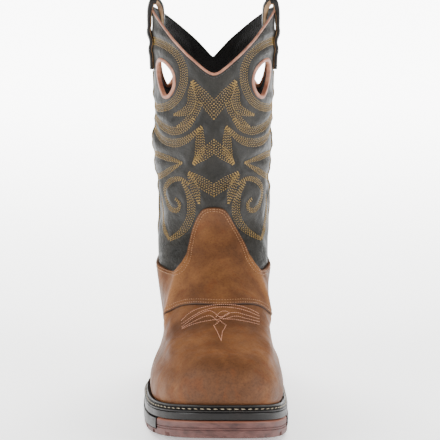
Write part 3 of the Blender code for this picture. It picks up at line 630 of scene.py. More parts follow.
class Skin:
    """The upper's outer face, as a function of u round the boot and v up its sections.

    u is 0 at the middle of the toe, 0.25 on the outer side, 0.5 at the back and 0.75 on the inner side.
    v counts sections from the welt, with all that lies between them on a smooth curve.
    """

    def __init__(self, creased):
        rows = [foot_row(row) for row in FOOT_SECTIONS] + [shaft_row(row) for row in SHAFT_SECTIONS]
        rows = np.array(rows)
        self.top = len(rows) - 1
        self.steps = np.linspace(0.0, self.top, self.top * FINE_PER_ROW + 1)
        low = np.minimum(self.steps.astype(int), self.top - 1)
        t = (self.steps - low)[:, None, None]
        before, after, beyond = np.maximum(low - 1, 0), low + 1, np.minimum(low + 2, self.top)
        a, b, c, d = rows[before], rows[low], rows[after], rows[beyond]
        bend = (2 * a - 5 * b + 4 * c - d) * t**2
        twist = (3 * b - a - 3 * c + d) * t**3
        self.face = 0.5 * (2 * b + (c - a) * t + bend + twist)
        self.normal = self.outward()
        self.lift = np.zeros((*self.face.shape[:2], 1))
        if creased:
            height = relief(self.face)[..., None]
            self.lift = height / LIFT_UNIT
            self.face = self.face + self.normal * height
            self.normal = self.outward()

    def outward(self):
        """The face's direction outwards at each of its points."""
        along = np.gradient(self.face, axis=0)
        around = np.roll(self.face, -1, axis=1) - np.roll(self.face, 1, axis=1)
        normal = np.cross(along, around)
        return normal / np.linalg.norm(normal, axis=2, keepdims=True)

    def sample(self, grid, u, v):
        """Values of a grid at u and v, straight between its points."""
        u, v = np.broadcast_arrays(np.asarray(u, float) % 1.0, np.asarray(v, float))
        x = u * FINE_AROUND
        y = np.clip(v, 0.0, self.top) * FINE_PER_ROW
        i = x.astype(int) % FINE_AROUND
        j = np.minimum(y.astype(int), len(self.steps) - 2)
        s, t = (x - np.floor(x))[..., None], (y - j)[..., None]
        k = (i + 1) % FINE_AROUND
        near = grid[j, i] * (1 - s) + grid[j, k] * s
        far = grid[j + 1, i] * (1 - s) + grid[j + 1, k] * s
        return near * (1 - t) + far * t

    def at(self, u, v, off=0.0):
        """Points off metres outside the face."""
        return self.sample(self.face, u, v) + np.asarray(off)[..., None] * self.sample(self.normal, u, v)

    def v_at(self, u, z):
        """v where the face is at height z, for each u."""
        u, z = np.broadcast_arrays(np.asarray(u, float), np.asarray(z, float))
        x = (u.ravel() % 1.0) * FINE_AROUND
        near = x.astype(int) % FINE_AROUND
        far, share = (near + 1) % FINE_AROUND, x - np.floor(x)
        heights = self.face[:, :, 2]
        found = []
        for i, k, s, height in zip(near, far, share, z.ravel()):
            found.append(np.interp(height, heights[:, i] * (1.0 - s) + heights[:, k] * s, self.steps))
        return np.array(found).reshape(u.shape)

    def level(self, u, z, off=0.0):
        """Points off metres outside the face, at height z for each u."""
        return self.at(u, self.v_at(u, z), off)

    def u_seam(self, z):
        """u of the outer side seam, which stands upright over the shaft's middle, at height z."""
        half = np.linspace(*SEAM_LOOK, 67)
        row = self.level(half, z)
        return float(np.interp(seam_y(), row[:, 1], half))

    def u_round(self, share, z):
        """u on the outer side at height z: share 0 at the front, 1 at the side seam and 2 at the back."""
        seam = self.u_seam(z)
        ends = (0.0, seam) if share <= 1.0 else (seam, 0.5)
        half = np.linspace(*ends, 61)
        row = self.level(half, z)
        run = distance_along(row)
        part = share if share <= 1.0 else share - 1.0
        return float(np.interp(part * run[-1], run, half))


PLAIN = Skin(creased=False)
SKIN = Skin(creased=True)
print("skin of", SKIN.face.shape[0], "by", SKIN.face.shape[1], "points")

# %% [markdown]
# ## Lines on the skin
# These functions give the lines that pieces are cut and laid along: the collar's scalloped rim, the welt's
# margin, the places of the pull holes, the overlays' edges and the levels of the sole's layers.

# %% Lines on the skin
ANKLE_ROW = len(FOOT_SECTIONS)


def collar_height(u):
    """The collar's rim: low at the front and back, fuller behind, with its peaks at the side seams."""
    wave = np.sqrt(np.sin(2.0 * math.pi * np.asarray(u)) ** 2 + SCALLOP_ROUND**2)
    share = (wave - SCALLOP_ROUND) / (math.sqrt(1.0 + SCALLOP_ROUND**2) - SCALLOP_ROUND)
    bend = np.where(np.cos(2.0 * math.pi * np.asarray(u)) < 0.0, SCALLOP_FULL_BACK, 1.0)
    return SHAFT_HEIGHT - SCALLOP_DEPTH * (1.0 - share**bend)


def edge_margin(y):
    """How far the welt stands out from the upper: wide in front, narrow round the heel."""
    return WELT_MARGIN + (HEEL_MARGIN - WELT_MARGIN) * smoothstep(station(y), WAIST_AT, HEEL_AT)


def hole_z():
    """Height of the pull holes' middles."""
    return SHAFT_HEIGHT - HOLE_DROP


def holes():
    """Name, seam and direction round the shaft of each pull hole."""
    for side, seam in (("outer", 0.25), ("inner", 0.75)):
        for place, step in (("front", -1.0), ("back", 1.0)):
            yield f"{side}_{place}", seam, step if seam < 0.5 else -step


def spread(rows, count):
    """A smooth line through table rows, as count rows."""
    table = np.array(rows)
    run = distance_along(table)
    wanted = np.linspace(0.0, run[-1], count)
    slopes = np.gradient(table, run, axis=0)
    low = np.clip(np.searchsorted(run, wanted, side="right") - 1, 0, len(run) - 2)
    size = (run[low + 1] - run[low])[:, None]
    t = (wanted - run[low])[:, None] / size
    ends = table[low] * (2 * t**3 - 3 * t**2 + 1) + table[low + 1] * (3 * t**2 - 2 * t**3)
    return ends + size * (slopes[low] * (t**3 - 2 * t**2 + t) + slopes[low + 1] * (t**3 - t**2))


def saddle_front(u):
    """v of the saddle's front edge: across the vamp and down to the welt at the waist."""
    away = np.minimum(u, 1.0 - u)
    return SADDLE_FRONT_ROW * np.clip(1.0 - (away / SADDLE_FRONT_REACH) ** SADDLE_FRONT_BEND, 0.0, None)


def counter_height(share):
    """Height of the counter's top edge, from the side seam at 1 to its peak at the back at 2."""
    start = SADDLE_TOP[-1][1]
    return SHAFT_HEIGHT * (start + (COUNTER_PEAK - start) * smoothstep(share, 1.0, 2.0))


def row_step(u, v, distance):
    """How much v changes over a distance up the face."""
    step = 0.05
    span = np.linalg.norm(SKIN.at(u, v + step) - SKIN.at(u, v - step))
    return distance * 2.0 * step / span


def mirrored(half):
    """Columns of one side and their mirror images, in order round the toe."""
    return [(1.0 - u, low, top) for u, low, top in reversed(half)] + [c for c in half if c[0] > 0.0]


def under_welt(y):
    """The midsole's top face."""
    return sole_line(y) - WELT_THICK - GAP


def under_midsole(y):
    """The outsole's top face."""
    return under_welt(y) - MIDSOLE_THICK - GAP


def tread(y):
    """The outsole's underside: on the floor under the ball, thin under the arch and the heel."""
    fore = sole_line(y) - FORE_HEIGHT
    thin = under_midsole(y) - OUTSOLE_SHANK
    return fore + (thin - fore) * smoothstep(station(y), ARCH_FROM, TREAD_TO)


def between(low, high, share):
    """A height function part of the way from one to another."""
    return lambda y: low(y) + (high(y) - low(y)) * share


def distance_to(points, line):
    """Each point's distance to the nearest of a line's points."""
    tree = KDTree(len(line))
    for index, point in enumerate(line):
        tree.insert(point, index)
    tree.balance()
    flat = np.asarray(points).reshape(-1, 3)
    return np.array([tree.find(point)[2] for point in flat]).reshape(points.shape[:-1])


print("rim from", collar_height(0.0), "in front to", collar_height(0.25), "at the side seams")

# %% [markdown]
# ## A flat map of the shaft
# The stitch pattern is drawn on a flat panel before the shaft is sewn up, so it is given here the same way:
# across is the share of the way from the middle of the panel to the side seam, and up is a height. A table
# of the skin carries each point of the panel to its place on the boot.

# %% The panel map
PANEL_ACROSS = np.linspace(0.0, 1.0, 33)
PANEL_UP = np.linspace(0.096, 0.300, 52)

# The way from the middle of the panel to a side seam, round the middle of the shaft
PANEL_HALF = 0.0800


def on_skin(u, v, off):
    """A line on the skin and the skin's direction along it."""
    return SKIN.at(u, v, off), SKIN.sample(SKIN.normal, u, v)


def panel_table(front):
    """u on the outer half of the front or back panel, for each height and share across."""
    rows = []
    for z in PANEL_UP:
        seam = PLAIN.u_seam(z)
        half = np.linspace(0.0, seam, 41) if front else np.linspace(0.5, seam, 41)
        row = PLAIN.level(half, z)
        run = distance_along(row)
        rows.append(np.interp(PANEL_ACROSS * run[-1], run, half))
    return np.array(rows)


PANEL_U = {front: panel_table(front) for front in (True, False)}


def on_panel(front, side, across, z, off):
    """Points of a panel line on the boot: side is 1 for the outer and -1 for the inner half."""
    row = np.interp(z, PANEL_UP, np.arange(len(PANEL_UP)))
    low = np.minimum(row.astype(int), len(PANEL_UP) - 2)
    column = np.clip(np.abs(across), 0.0, 1.0) * (len(PANEL_ACROSS) - 1)
    left = np.minimum(column.astype(int), len(PANEL_ACROSS) - 2)
    s, t = column - left, row - low
    table = PANEL_U[front]
    near = table[low, left] * (1 - s) + table[low, left + 1] * s
    far = table[low + 1, left] * (1 - s) + table[low + 1, left + 1] * s
    u = near * (1 - t) + far * t
    sign = np.where(across < 0.0, -side, side)
    u = np.where(sign > 0, u, 1.0 - u) % 1.0
    return on_skin(u, SKIN.v_at(u, z), off)


def smooth_line(points, count):
    """A smooth line through a stroke's points, evenly stepped. Their heights are in millimetres."""
    return spread([(across * PANEL_HALF, up * MM) for across, up in points], count)


def row_of(line, aside):
    """A line beside another, at a distance to its left for each point."""
    along = np.gradient(line, axis=0)
    along /= np.linalg.norm(along, axis=1, keepdims=True)
    return line + np.stack([-along[:, 1], along[:, 0]], axis=1) * np.asarray(aside)[..., None]


print("a panel of", len(PANEL_UP), "by", len(PANEL_ACROSS), "places, front and back")

# %% [markdown]
# ## The western stitch pattern
# Bands of gold thread cover the front and the back of the shaft: arcs round the pull holes, a flame that
# meets in the middle, hooks and scrolls below it, and leaves towards the side seams. Each stroke below has
# four to six rows of thread, gap millimetres apart. start and end say how far the rows draw together at
# its tips, and points are pairs of the share across and the height in millimetres. Strokes that meet in
# the middle run on a little beyond it and are cut off there.

# %% Strokes of the pattern
Band = namedtuple("Band", "name rows gap start end points")
BANDS = (
    Band("round the hole", 5, 1.55, 0.9, 0.9, (
        (1.00, 286), (0.80, 288.5), (0.60, 288), (0.455, 285), (0.354, 279.5), (0.30, 271.5),
        (0.292, 262.5), (0.322, 253), (0.384, 244.5), (0.488, 238.2), (0.66, 234), (0.84, 233), (1.00, 235))),
    Band("flame to the middle", 6, 1.9, 0.3, 1.0, (
        (0.207, 259.5), (0.155, 253), (0.104, 247), (0.05, 241.5), (0.0, 236), (-0.08, 227.5))),
    Band("flame's leg", 5, 1.6, 0.4, 0.2, (
        (0.200, 258), (0.218, 251), (0.216, 242.5), (0.255, 236), (0.34, 232.5), (0.444, 230))),
    Band("second tongue", 4, 1.6, 1.0, 0.2, (
        (0.145, 242), (0.17, 235.5), (0.216, 230.5), (0.292, 225.3), (0.385, 221))),
    Band("hook", 5, 1.55, 0.9, 0.4, (
        (1.00, 227.5), (0.88, 224.5), (0.757, 221.5), (0.564, 217.8), (0.396, 217.1), (0.272, 221.1),
        (0.204, 228.2))),
    Band("arc", 5, 1.55, 0.9, 0.3, (
        (1.00, 215.5), (0.90, 213.5), (0.732, 209.2), (0.572, 206.6), (0.384, 207.4), (0.264, 211.3),
        (0.176, 217.6), (0.124, 221.7))),
    Band("upright", 5, 1.6, 0.6, 0.3, ((0.132, 220), (0.134, 208), (0.152, 198), (0.204, 190.5))),
    Band("roof", 6, 1.7, 0.3, 1.0, (
        (0.204, 191), (0.155, 195), (0.108, 198.7), (0.05, 202.5), (0.0, 206), (-0.08, 212))),
    Band("valley", 6, 1.7, 0.3, 1.0, (
        (0.262, 183), (0.19, 179), (0.120, 175.5), (0.06, 172.5), (0.0, 169.5), (-0.08, 165.5))),
    Band("leg", 5, 1.5, 0.7, 0.2, ((0.255, 181.5), (0.215, 174.1), (0.178, 167), (0.15, 158.5))),
    Band("scroll", 4, 1.4, 0.4, 0.4, (
        (0.27, 173.5), (0.34, 176.5), (0.44, 176.3), (0.561, 171.6), (0.630, 163.3), (0.584, 155.4),
        (0.471, 150.4), (0.385, 151.5), (0.37, 156.4), (0.427, 159.7))),
    Band("scroll's tail", 5, 1.5, 0.3, 0.4, (
        (0.345, 174), (0.27, 166.5), (0.229, 156.4), (0.231, 148.4), (0.272, 140.2), (0.345, 133.5),
        (0.462, 127.7))),
    Band("lower leaf", 4, 1.4, 0.4, 0.4, (
        (0.83, 158), (0.783, 148.4), (0.714, 139.4), (0.622, 132.9), (0.491, 127.5))),
    Band("upper leaf", 4, 1.4, 0.2, 1.0, ((0.352, 190.8), (0.548, 192.5), (0.78, 193.5), (1.00, 192))),
    Band("leaf's lower side", 4, 1.4, 0.2, 1.0, ((0.352, 190.3), (0.50, 184), (0.70, 176.5), (1.00, 171))),
)
LINE_STEPS = 48
print(len(BANDS), "strokes on each half of a panel")

# %% [markdown]
# ## Quilting
# The shaft is stitched through a soft backing. Under each band the thread pulls the leather in by less than
# a millimetre, and on both sides of it the leather puffs out, so that the light draws a soft edge along
# every band. The pull is added to the skin, and so the shaft's surface and its thread both follow it. It
# fades out above the ankle, where the lining is glued down.

# %% Quilting
QUILT_PULL = 0.0007
QUILT_PUFF = 0.0008
PULL_FLAT, PULL_END = 0.0020, 0.0052
PUFF_AT, PUFF_WIDTH = 0.0078, 0.0030
QUILT_FROM, QUILT_FULL = 0.140, 0.165


def quilting(skin):
    """How far the stitching moves each point of the skin outwards."""
    middles = [smooth_line(band.points, LINE_STEPS) for band in BANDS]
    laid = [on_panel(front, side, line[:, 0] / PANEL_HALF, line[:, 1], 0.0)[0]
            for line in middles for front in (True, False) for side in (1.0, -1.0)]
    away = distance_to(skin.face, np.concatenate(laid))
    pull = QUILT_PULL * (1.0 - smoothstep(away, PULL_FLAT, PULL_END))
    puff = QUILT_PUFF * np.exp(-(((away - PUFF_AT) / PUFF_WIDTH) ** 2))
    return (puff - pull) * smoothstep(skin.face[..., 2], QUILT_FROM, QUILT_FULL)


SKIN.face = SKIN.face + SKIN.normal * quilting(SKIN)[..., None]
SKIN.normal = SKIN.outward()
print(len(BANDS), "strokes of the pattern quilted")

# %% [markdown]
# ## Colours
# Each surface has a middle colour, a pale one for worn or stretched places and a dark one for darker
# mottle, which also serves as painted shade in the leather's hollows, the thread's twist and the fabric's
# cells. They are the colours of the dyed leather, rubber and thread under soft white light.

# %% Colours
Palette = namedtuple("Palette", "base pale dark", defaults=(None,) * 2)
SHAFT = Palette("#25231f", "#302d27", "#1b1a16")
STRAP = Palette("#1d1a18", "#292320", "#131110")
PIPING = Palette("#322e26", "#484235", "#211e19")
BROWN = Palette("#57361e", "#754d2c", "#3c2414")
BINDING = Palette("#8d5c45", "#a3765e", "#6a3e2f")
RAW = Palette("#8a6c4e", "#a98a66", "#604834")
BLACK = Palette("#0e0b09", "#1c1513", "#080505")
MAUVE = Palette("#543733", "#664843", "#382421")
GOLD = Palette("#b08c42", dark="#523c18")
TAN = Palette("#a2764e", dark="#6a462a")
PINK = Palette("#cc9478", dark="#80543c")
CREAM = Palette("#bbae95", dark="#80745e")
CHARCOAL = Palette("#2a2827", dark="#161515")
LINING = Palette("#1b1a19", dark="#080808")
FELT = Palette("#4a4642", dark="#2e2b28")
BROWN_RED = "#5e3317"
MAUVE_HIGHLIGHT = "#81503b"
CUT_EDGE = "#1e120c"
WHITE = "#ffffff"
BLOOM_GREY, CREASE_SHADE_GREY, FLECK_GREY = "#8f8f8f", "#6f6f6f", "#9a8c80"
print("brown leather from", BROWN.dark, "to", BROWN.pale)

# %% [markdown]
# ## Grain
# Leather's grain is a field of small raised cells with creases between them. The cells are pushed about a
# little, so that they don't lie in rows.

# %% Grain
def grain(tree, place, size, wander=0.25):
    """Pebbled grain: raised cells about size metres across, with creases between them."""
    wobble = noise(tree, place, size * 3.0, 2.0)
    pushed = add_node(tree, "ShaderNodeVectorMath", {"operation": "ADD"}, {0: place})
    away = sums(tree, "MULTIPLY", wobble, size * wander)
    push = add_node(tree, "ShaderNodeCombineXYZ", links={0: away, 1: away})
    tree.links.new(push.outputs[0], pushed.inputs[1])
    cells = add_node(tree, "ShaderNodeTexVoronoi", {"feature": "SMOOTH_F1"}, {0: pushed.outputs[0]},
                     Scale=1.0 / size, Smoothness=0.6)
    return cells.outputs["Distance"]


print("grain ready")

# %% [markdown]
# ## Waxed cowhide
# Shaft: full-grain cowhide, drum-dyed charcoal and lightly waxed. It gives the eye a fine pebbled grain of
# about a millimetre, a soft wide highlight, and a slightly paler bloom where the wax has rubbed off. The
# creases between the grain's cells are darkened in colour as painted shade.

# %% Waxed cowhide
SHAFT_CLOUD = 0.035
SHAFT_BLOOM = 0.009
SHAFT_GRAIN, SHAFT_GRAIN_DEPTH = 0.0011, 0.00028
SHAFT_DENT, SHAFT_DENT_DEPTH = 0.008, 0.0016


def shaft_finish(name, palette, gloss):
    """Waxed, drum-dyed leather; gloss is its roughness where the wax is whole."""
    made, tree = new_material(name, gloss, Specular_IOR_Level=0.24)
    place = place_node(tree)
    cloud = noise(tree, place, SHAFT_CLOUD, 4.0, 0.6)
    bloom = noise(tree, place, SHAFT_BLOOM, 4.0, 0.65)
    tint = ramp(tree, cloud, (0.30, palette.dark), (0.52, palette.base), (0.75, palette.pale))
    speck = ramp(tree, bloom, (0.38, BLOOM_GREY), (0.62, WHITE))
    colour = mix(tree, 0.55, tint, speck, "MULTIPLY")
    cells = grain(tree, place, SHAFT_GRAIN)
    # painted shade: the creases between the grain's cells are darkened in colour
    creases = ramp(tree, cells, (0.20, WHITE), (0.62, CREASE_SHADE_GREY))
    colour = mix(tree, 0.35, colour, creases, "MULTIPLY")
    rough = curve_of(tree, bloom, 0.3, 0.7, gloss - 0.06, gloss + 0.14)
    low = sums(tree, "SUBTRACT", 1.0, cells)
    dents = bump(tree, noise(tree, place, SHAFT_DENT, 3.0), SHAFT_DENT_DEPTH, 0.8)
    return finished(made, colour, bump(tree, low, SHAFT_GRAIN_DEPTH, 0.8, dents), rough)


shaft_leather = shaft_finish("charcoal waxed cowhide, drum dyed", SHAFT, 0.52)
strap_leather = shaft_finish("dark strap cowhide, waxed", STRAP, 0.42)
print("made", shaft_leather.name, "and", strap_leather.name)

# %% [markdown]
# ## Oiled leather
# Vamp, saddle and counter: oiled pull-up leather. Oil makes it dark and dull, and it pales where it is
# stretched, so its ridges are light tan; its hollows are darkened to brown as painted shade. It has a cloudy
# mottle of a few centimetres. Its cut edges are dark, and the seam beside an edge pulls a shallow channel
# into it.

# %% Oiled leather
BROWN_CLOUD = 0.030
BROWN_BLOTCH = 0.011
BROWN_FLECK = 0.0016
BROWN_SWELL, BROWN_SWELL_DEPTH = 0.0045, 0.0004
PORE_SIZE, PORE_DEPTH = 0.00072, 0.00012
CHANNEL_AT, CHANNEL_HALF, CHANNEL_DEPTH = 0.0017, 0.0007, 0.00025


def oiled_finish(name, palette, red):
    """Oiled leather that reads how far each point is lifted and how far it is from the cut edge."""
    made, tree = new_material(name, 0.60, Specular_IOR_Level=0.22)
    place = place_node(tree)
    cloud = noise(tree, place, BROWN_CLOUD, 5.0, 0.62, 0.6)
    tint = ramp(tree, cloud, (0.18, palette.dark), (0.47, palette.base), (0.80, palette.pale))
    blotch = noise(tree, place_node(tree, (1.0, 1.0, 0.6)), BROWN_BLOTCH, 4.0, 0.6, 0.4)
    warm = mix(tree, curve_of(tree, blotch, 0.50, 0.72, 0.0, 0.55), tint, rgb(tree, red))
    lift = attribute(tree, "lift")
    stretched = mix(tree, curve_of(tree, lift, 0.15, 1.2, 0.0, 0.90), warm, rgb(tree, palette.pale))
    # painted shade: where the creases sink below the skin, the colour is darkened towards the dark brown
    shaded_hollows = mix(tree, curve_of(tree, lift, -0.2, -1.1, 0.0, 0.55), stretched, rgb(tree, palette.dark))
    fleck = ramp(tree, noise(tree, place, BROWN_FLECK, 3.0, 0.7), (0.33, FLECK_GREY), (0.55, WHITE))
    flecked = mix(tree, 0.42, shaded_hollows, fleck, "MULTIPLY")
    edge = curve_of(tree, attribute(tree, "edge"), 0.0004, 0.0011, 0.75, 0.0)
    colour = mix(tree, edge, flecked, rgb(tree, CUT_EDGE))
    rough = curve_of(tree, blotch, 0.3, 0.7, 0.52, 0.70)
    pores = sums(tree, "SUBTRACT", 1.0, grain(tree, place, PORE_SIZE))
    soft = bump(tree, noise(tree, place, BROWN_SWELL, 4.0, 0.6), BROWN_SWELL_DEPTH, 0.6)
    off_channel = sums(tree, "SUBTRACT", attribute(tree, "edge"), CHANNEL_AT)
    channel = sums(tree, "ABSOLUTE", off_channel, 0.0)
    pulled = bump(tree, curve_of(tree, channel, 0.0, CHANNEL_HALF), CHANNEL_DEPTH, 0.8, soft)
    return finished(made, colour, bump(tree, pores, PORE_DEPTH, 0.7, pulled), rough)


brown_leather = oiled_finish("brown oiled pull-up leather", BROWN, BROWN_RED)
print("made", brown_leather.name)

# %% [markdown]
# ## Thin leather
# Bindings, piping and the straps' flesh side: thin split leather, skived and rolled. It is smooth and a
# little waxy, with faint wrinkles across.

# %% Thin leather
THIN_CLOUD = 0.008
WRINKLE, WRINKLE_DEPTH = 0.0012, 0.00020


def rolled_finish(name, palette, gloss):
    """Thin rolled leather; gloss is its roughness."""
    made, tree = new_material(name, gloss, Specular_IOR_Level=0.45)
    place = place_node(tree)
    cloud = noise(tree, place, THIN_CLOUD, 4.0, 0.6)
    colour = ramp(tree, cloud, (0.30, palette.dark), (0.52, palette.base), (0.74, palette.pale))
    return finished(made, colour, bump(tree, noise(tree, place, WRINKLE, 3.0), WRINKLE_DEPTH, 0.6))


piping_leather = rolled_finish("folded seam piping", PIPING, 0.45)
raw_leather = rolled_finish("undyed flesh side of strap leather", RAW, 0.7)
binding_leather = rolled_finish("salmon binding leather, skived", BINDING, 0.45)
print("made", piping_leather.name + ",", raw_leather.name, "and", binding_leather.name)

# %% [markdown]
# ## Lining and footbed
# Lining: knitted nylon mesh over foam, black, with open cells of two millimetres. It returns almost no
# light, so the inside of the shaft stays dark. Footbed: grey felted polyester, flat and matt. In both, the
# open cells are darker than the threads round them: painted shade.

# %% Fabric finishes
FABRIC_DEPTH = 0.0004
MESH_CELL, FELT_CELL = 0.0022, 0.0009


def mesh_finish(name, palette, cell):
    """A fabric of small open cells, cell metres across, darkened inside the cells as painted shade."""
    made, tree = new_material(name, 0.85, Specular_IOR_Level=0.25, Sheen_Weight=0.15)
    place = place_node(tree, (1.0, 1.0, 1.3))
    cells = add_node(tree, "ShaderNodeTexVoronoi", {"feature": "DISTANCE_TO_EDGE"}, {0: place},
                     Scale=1.0 / cell)
    open_cells = curve_of(tree, cells.outputs["Distance"], 0.05, 0.30)
    # painted shade: the insides of the open cells take the dark colour
    colour = mix(tree, open_cells, rgb(tree, palette.base), rgb(tree, palette.dark))
    threads = sums(tree, "SUBTRACT", 1.0, open_cells)
    return finished(made, colour, bump(tree, threads, FABRIC_DEPTH, 0.9))


lining_mesh = mesh_finish("black knitted mesh lining", LINING, MESH_CELL)
footbed_fabric = mesh_finish("grey felted footbed", FELT, FELT_CELL)
print("made", lining_mesh.name, "and", footbed_fabric.name)

# %% [markdown]
# ## Rubber
# Welt, midsole and guards: black PVC rubber, injection moulded. It is satin, with a narrow highlight along
# every edge and a dusty bloom on its flats. Outsole and heel lift: mauve-brown nitrile rubber, moulded and
# trimmed, more matt and a little cloudy. A painted highlight makes the outsole paler along its top edge.

# %% Rubber finishes
BLACK_DUST_SIZE, BLACK_DUST_DEPTH = 0.012, 0.0004
BLACK_FINE, BLACK_FINE_DEPTH = 0.0008, 0.00012
MAUVE_CLOUD = 0.010
MAUVE_FINE, MAUVE_FINE_DEPTH = 0.0012, 0.00015
MAUVE_HIGHLIGHT_BAND = (0.84, 0.93)


def black_rubber_finish():
    """Satin moulded rubber with a dusty bloom."""
    made, tree = new_material("black moulded PVC rubber", 0.36, Specular_IOR_Level=0.26)
    place = place_node(tree)
    dust = noise(tree, place, BLACK_DUST_SIZE, 5.0, 0.65)
    colour = ramp(tree, dust, (0.35, BLACK.dark), (0.60, BLACK.base), (0.80, BLACK.pale))
    rough = curve_of(tree, dust, 0.35, 0.75, 0.30, 0.50)
    fine = noise(tree, place, BLACK_FINE, 3.0, 0.6)
    soft = bump(tree, dust, BLACK_DUST_DEPTH, 0.5)
    return finished(made, colour, bump(tree, fine, BLACK_FINE_DEPTH, 0.6, soft), rough)


def mauve_rubber_finish():
    """Matt rubber with a painted highlight: paler where its stored rise says it is near the outsole's top
    edge.
    """
    made, tree = new_material("mauve brown nitrile rubber", 0.52, Specular_IOR_Level=0.28)
    place = place_node(tree, (1.0, 1.0, 2.0))
    cloud = noise(tree, place, MAUVE_CLOUD, 5.0, 0.6)
    colour = ramp(tree, cloud, (0.30, MAUVE.dark), (0.52, MAUVE.base), (0.76, MAUVE.pale))
    # painted highlight: the colour pales towards the outsole's top edge
    top = curve_of(tree, attribute(tree, "rise"), *MAUVE_HIGHLIGHT_BAND)
    colour = mix(tree, sums(tree, "MULTIPLY", top, 0.55), colour, rgb(tree, MAUVE_HIGHLIGHT))
    rough = curve_of(tree, cloud, 0.3, 0.7, 0.42, 0.62)
    fine = noise(tree, place, MAUVE_FINE, 4.0, 0.6)
    return finished(made, colour, bump(tree, fine, MAUVE_FINE_DEPTH, 0.6), rough)


black_rubber = black_rubber_finish()
mauve_rubber = mauve_rubber_finish()
print("made", black_rubber.name, "and", mauve_rubber.name)

# %% [markdown]
# ## Thread finish
# Bonded polyester thread, twisted from three strands and waxed. Each stitch is a small bright bead, and the
# twist shows as slanting bands about a third of a millimetre apart, their grooves darkened in colour as
# painted shade.

# %% Thread finishes
TWIST, TWIST_DEPTH = 0.0009, 0.00008
TWIST_TURN = (0.0, math.radians(40.0), math.radians(30.0))


def thread_finish(name, palette):
    """Waxed thread with slanting bands of its twist, whose grooves are darkened as painted shade."""
    made, tree = new_material(name, 0.42, Specular_IOR_Level=0.5)
    place = place_node(tree, turn=TWIST_TURN)
    twist = add_node(tree, "ShaderNodeTexWave", {"bands_direction": "Z"}, {0: place}, Scale=1.0 / TWIST,
                     Distortion=1.0)
    # painted shade: the grooves of the twist take the dark colour
    colour = mix(tree, twist.outputs["Fac"], rgb(tree, palette.dark), rgb(tree, palette.base))
    return finished(made, colour, bump(tree, twist.outputs["Fac"], TWIST_DEPTH, 0.6))


gold_thread = thread_finish("gold polyester thread, waxed", GOLD)
tan_thread = thread_finish("tan polyester thread, waxed", TAN)
pink_thread = thread_finish("pale pink polyester thread, waxed", PINK)
cream_thread = thread_finish("cream polyester thread, waxed", CREAM)
dark_thread = thread_finish("charcoal polyester thread, waxed", CHARCOAL)
print(len(bpy.data.materials), "materials")

# %% [markdown]
# ## Turning loops and grids into pieces
# A few helpers build every solid below. They spread columns round the boot, make the faces of a grid of
# points, skin a stack of closed loops and round an outline's corners. new_piece makes the object, hides
# the CAD nodes it stands for, and lets it ride with the boot.

# %% Helpers for meshes
SHARP = 35.0
root_pieces = []


def around_boot(count):
    """count values of u round the boot, closer together at the toe and the back."""
    turn = np.arange(count) / count
    return turn - SHIFT_TO_ENDS * np.sin(4.0 * math.pi * turn) / (4.0 * math.pi)


def grid_faces(rows, columns, wrap=False, first=0):
    """The four-sided faces of a grid of points given row after row, closed round its columns if wrap."""
    row, column = np.meshgrid(np.arange(rows - 1), np.arange(columns if wrap else columns - 1), indexing="ij")
    after = (column + 1) % columns
    quads = [row * columns + column, row * columns + after, (row + 1) * columns + after,
             (row + 1) * columns + column]
    return (first + np.stack(quads, axis=-1).reshape(-1, 4)).tolist()


def solid_mesh(name, points, faces):
    """A mesh of a closed form, its faces turned outwards."""
    mesh = bpy.data.meshes.new(name)
    mesh.from_pydata(np.asarray(points).reshape(-1, 3).tolist(), [], faces)
    bm = bmesh.new()
    bm.from_mesh(mesh)
    bmesh.ops.recalc_face_normals(bm, faces=bm.faces)
    bm.to_mesh(mesh)
    bm.free()
    return mesh


def store(mesh, name, numbers):
    """Keeps one number for each of a mesh's points, for its finish or its stitches to read."""
    held = mesh.attributes.new(name, "FLOAT", "POINT")
    held.data.foreach_set("value", np.asarray(numbers, np.float32).ravel())


def shade(mesh, sharp):
    """Smooth shading, with edges sharper than sharp degrees kept as edges."""
    mesh.shade_smooth()
    mesh.set_sharp_from_angle(angle=math.radians(sharp))


def new_piece(name, points, faces, finishes, slot, nodes, kinds=None, sharp=SHARP, values=None):
    """A closed piece that rides with the boot and hides the CAD nodes it stands for."""
    mesh = solid_mesh(name, points, faces)
    for finish in finishes:
        mesh.materials.append(finish)
    if kinds is not None:
        mesh.polygons.foreach_set("material_index", kinds)
    for key, numbers in (values or {}).items():
        store(mesh, key, numbers)
    shade(mesh, sharp)
    made = put(name, mesh)
    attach(made, "root")
    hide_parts(*nodes)
    root_pieces.append(made)
    return made


def loft(loops, around=False):
    """Points and faces of a skin over closed loops, capped at both ends unless it closes on itself."""
    loops = np.asarray(loops)
    count = len(loops[0])
    stacked = np.concatenate([loops, loops[:1]]) if around else loops
    faces = grid_faces(len(stacked), count, wrap=True)
    if around:
        total = len(loops) * count
        return loops.reshape(-1, 3), [[index % total for index in face] for face in faces]
    last = (len(loops) - 1) * count
    for first in (0, last):
        half = count // 2
        faces.append((first, first + 1, first + count - 1))
        faces += [(first + i, first + i + 1, first + count - i - 1, first + count - i)
                  for i in range(1, half - 1)]
        faces.append((first + half - 1, first + half, first + half + 1))
    return loops.reshape(-1, 3), faces


def rounded(outline, radius, steps=4):
    """A closed outline of pairs with its corners rounded off."""
    outline = np.array(outline, float)
    made = []
    for before, corner, after in zip(np.roll(outline, 1, axis=0), outline, np.roll(outline, -1, axis=0)):
        ends = []
        for other in (before, after):
            way = other - corner
            size = np.linalg.norm(way)
            ends.append(corner + way / size * min(radius, 0.48 * size))
        for t in np.linspace(0.0, 1.0, steps + 1):
            made.append((1 - t) ** 2 * ends[0] + 2 * t * (1 - t) * corner + t * t * ends[1])
    return made


print("helpers for meshes ready")

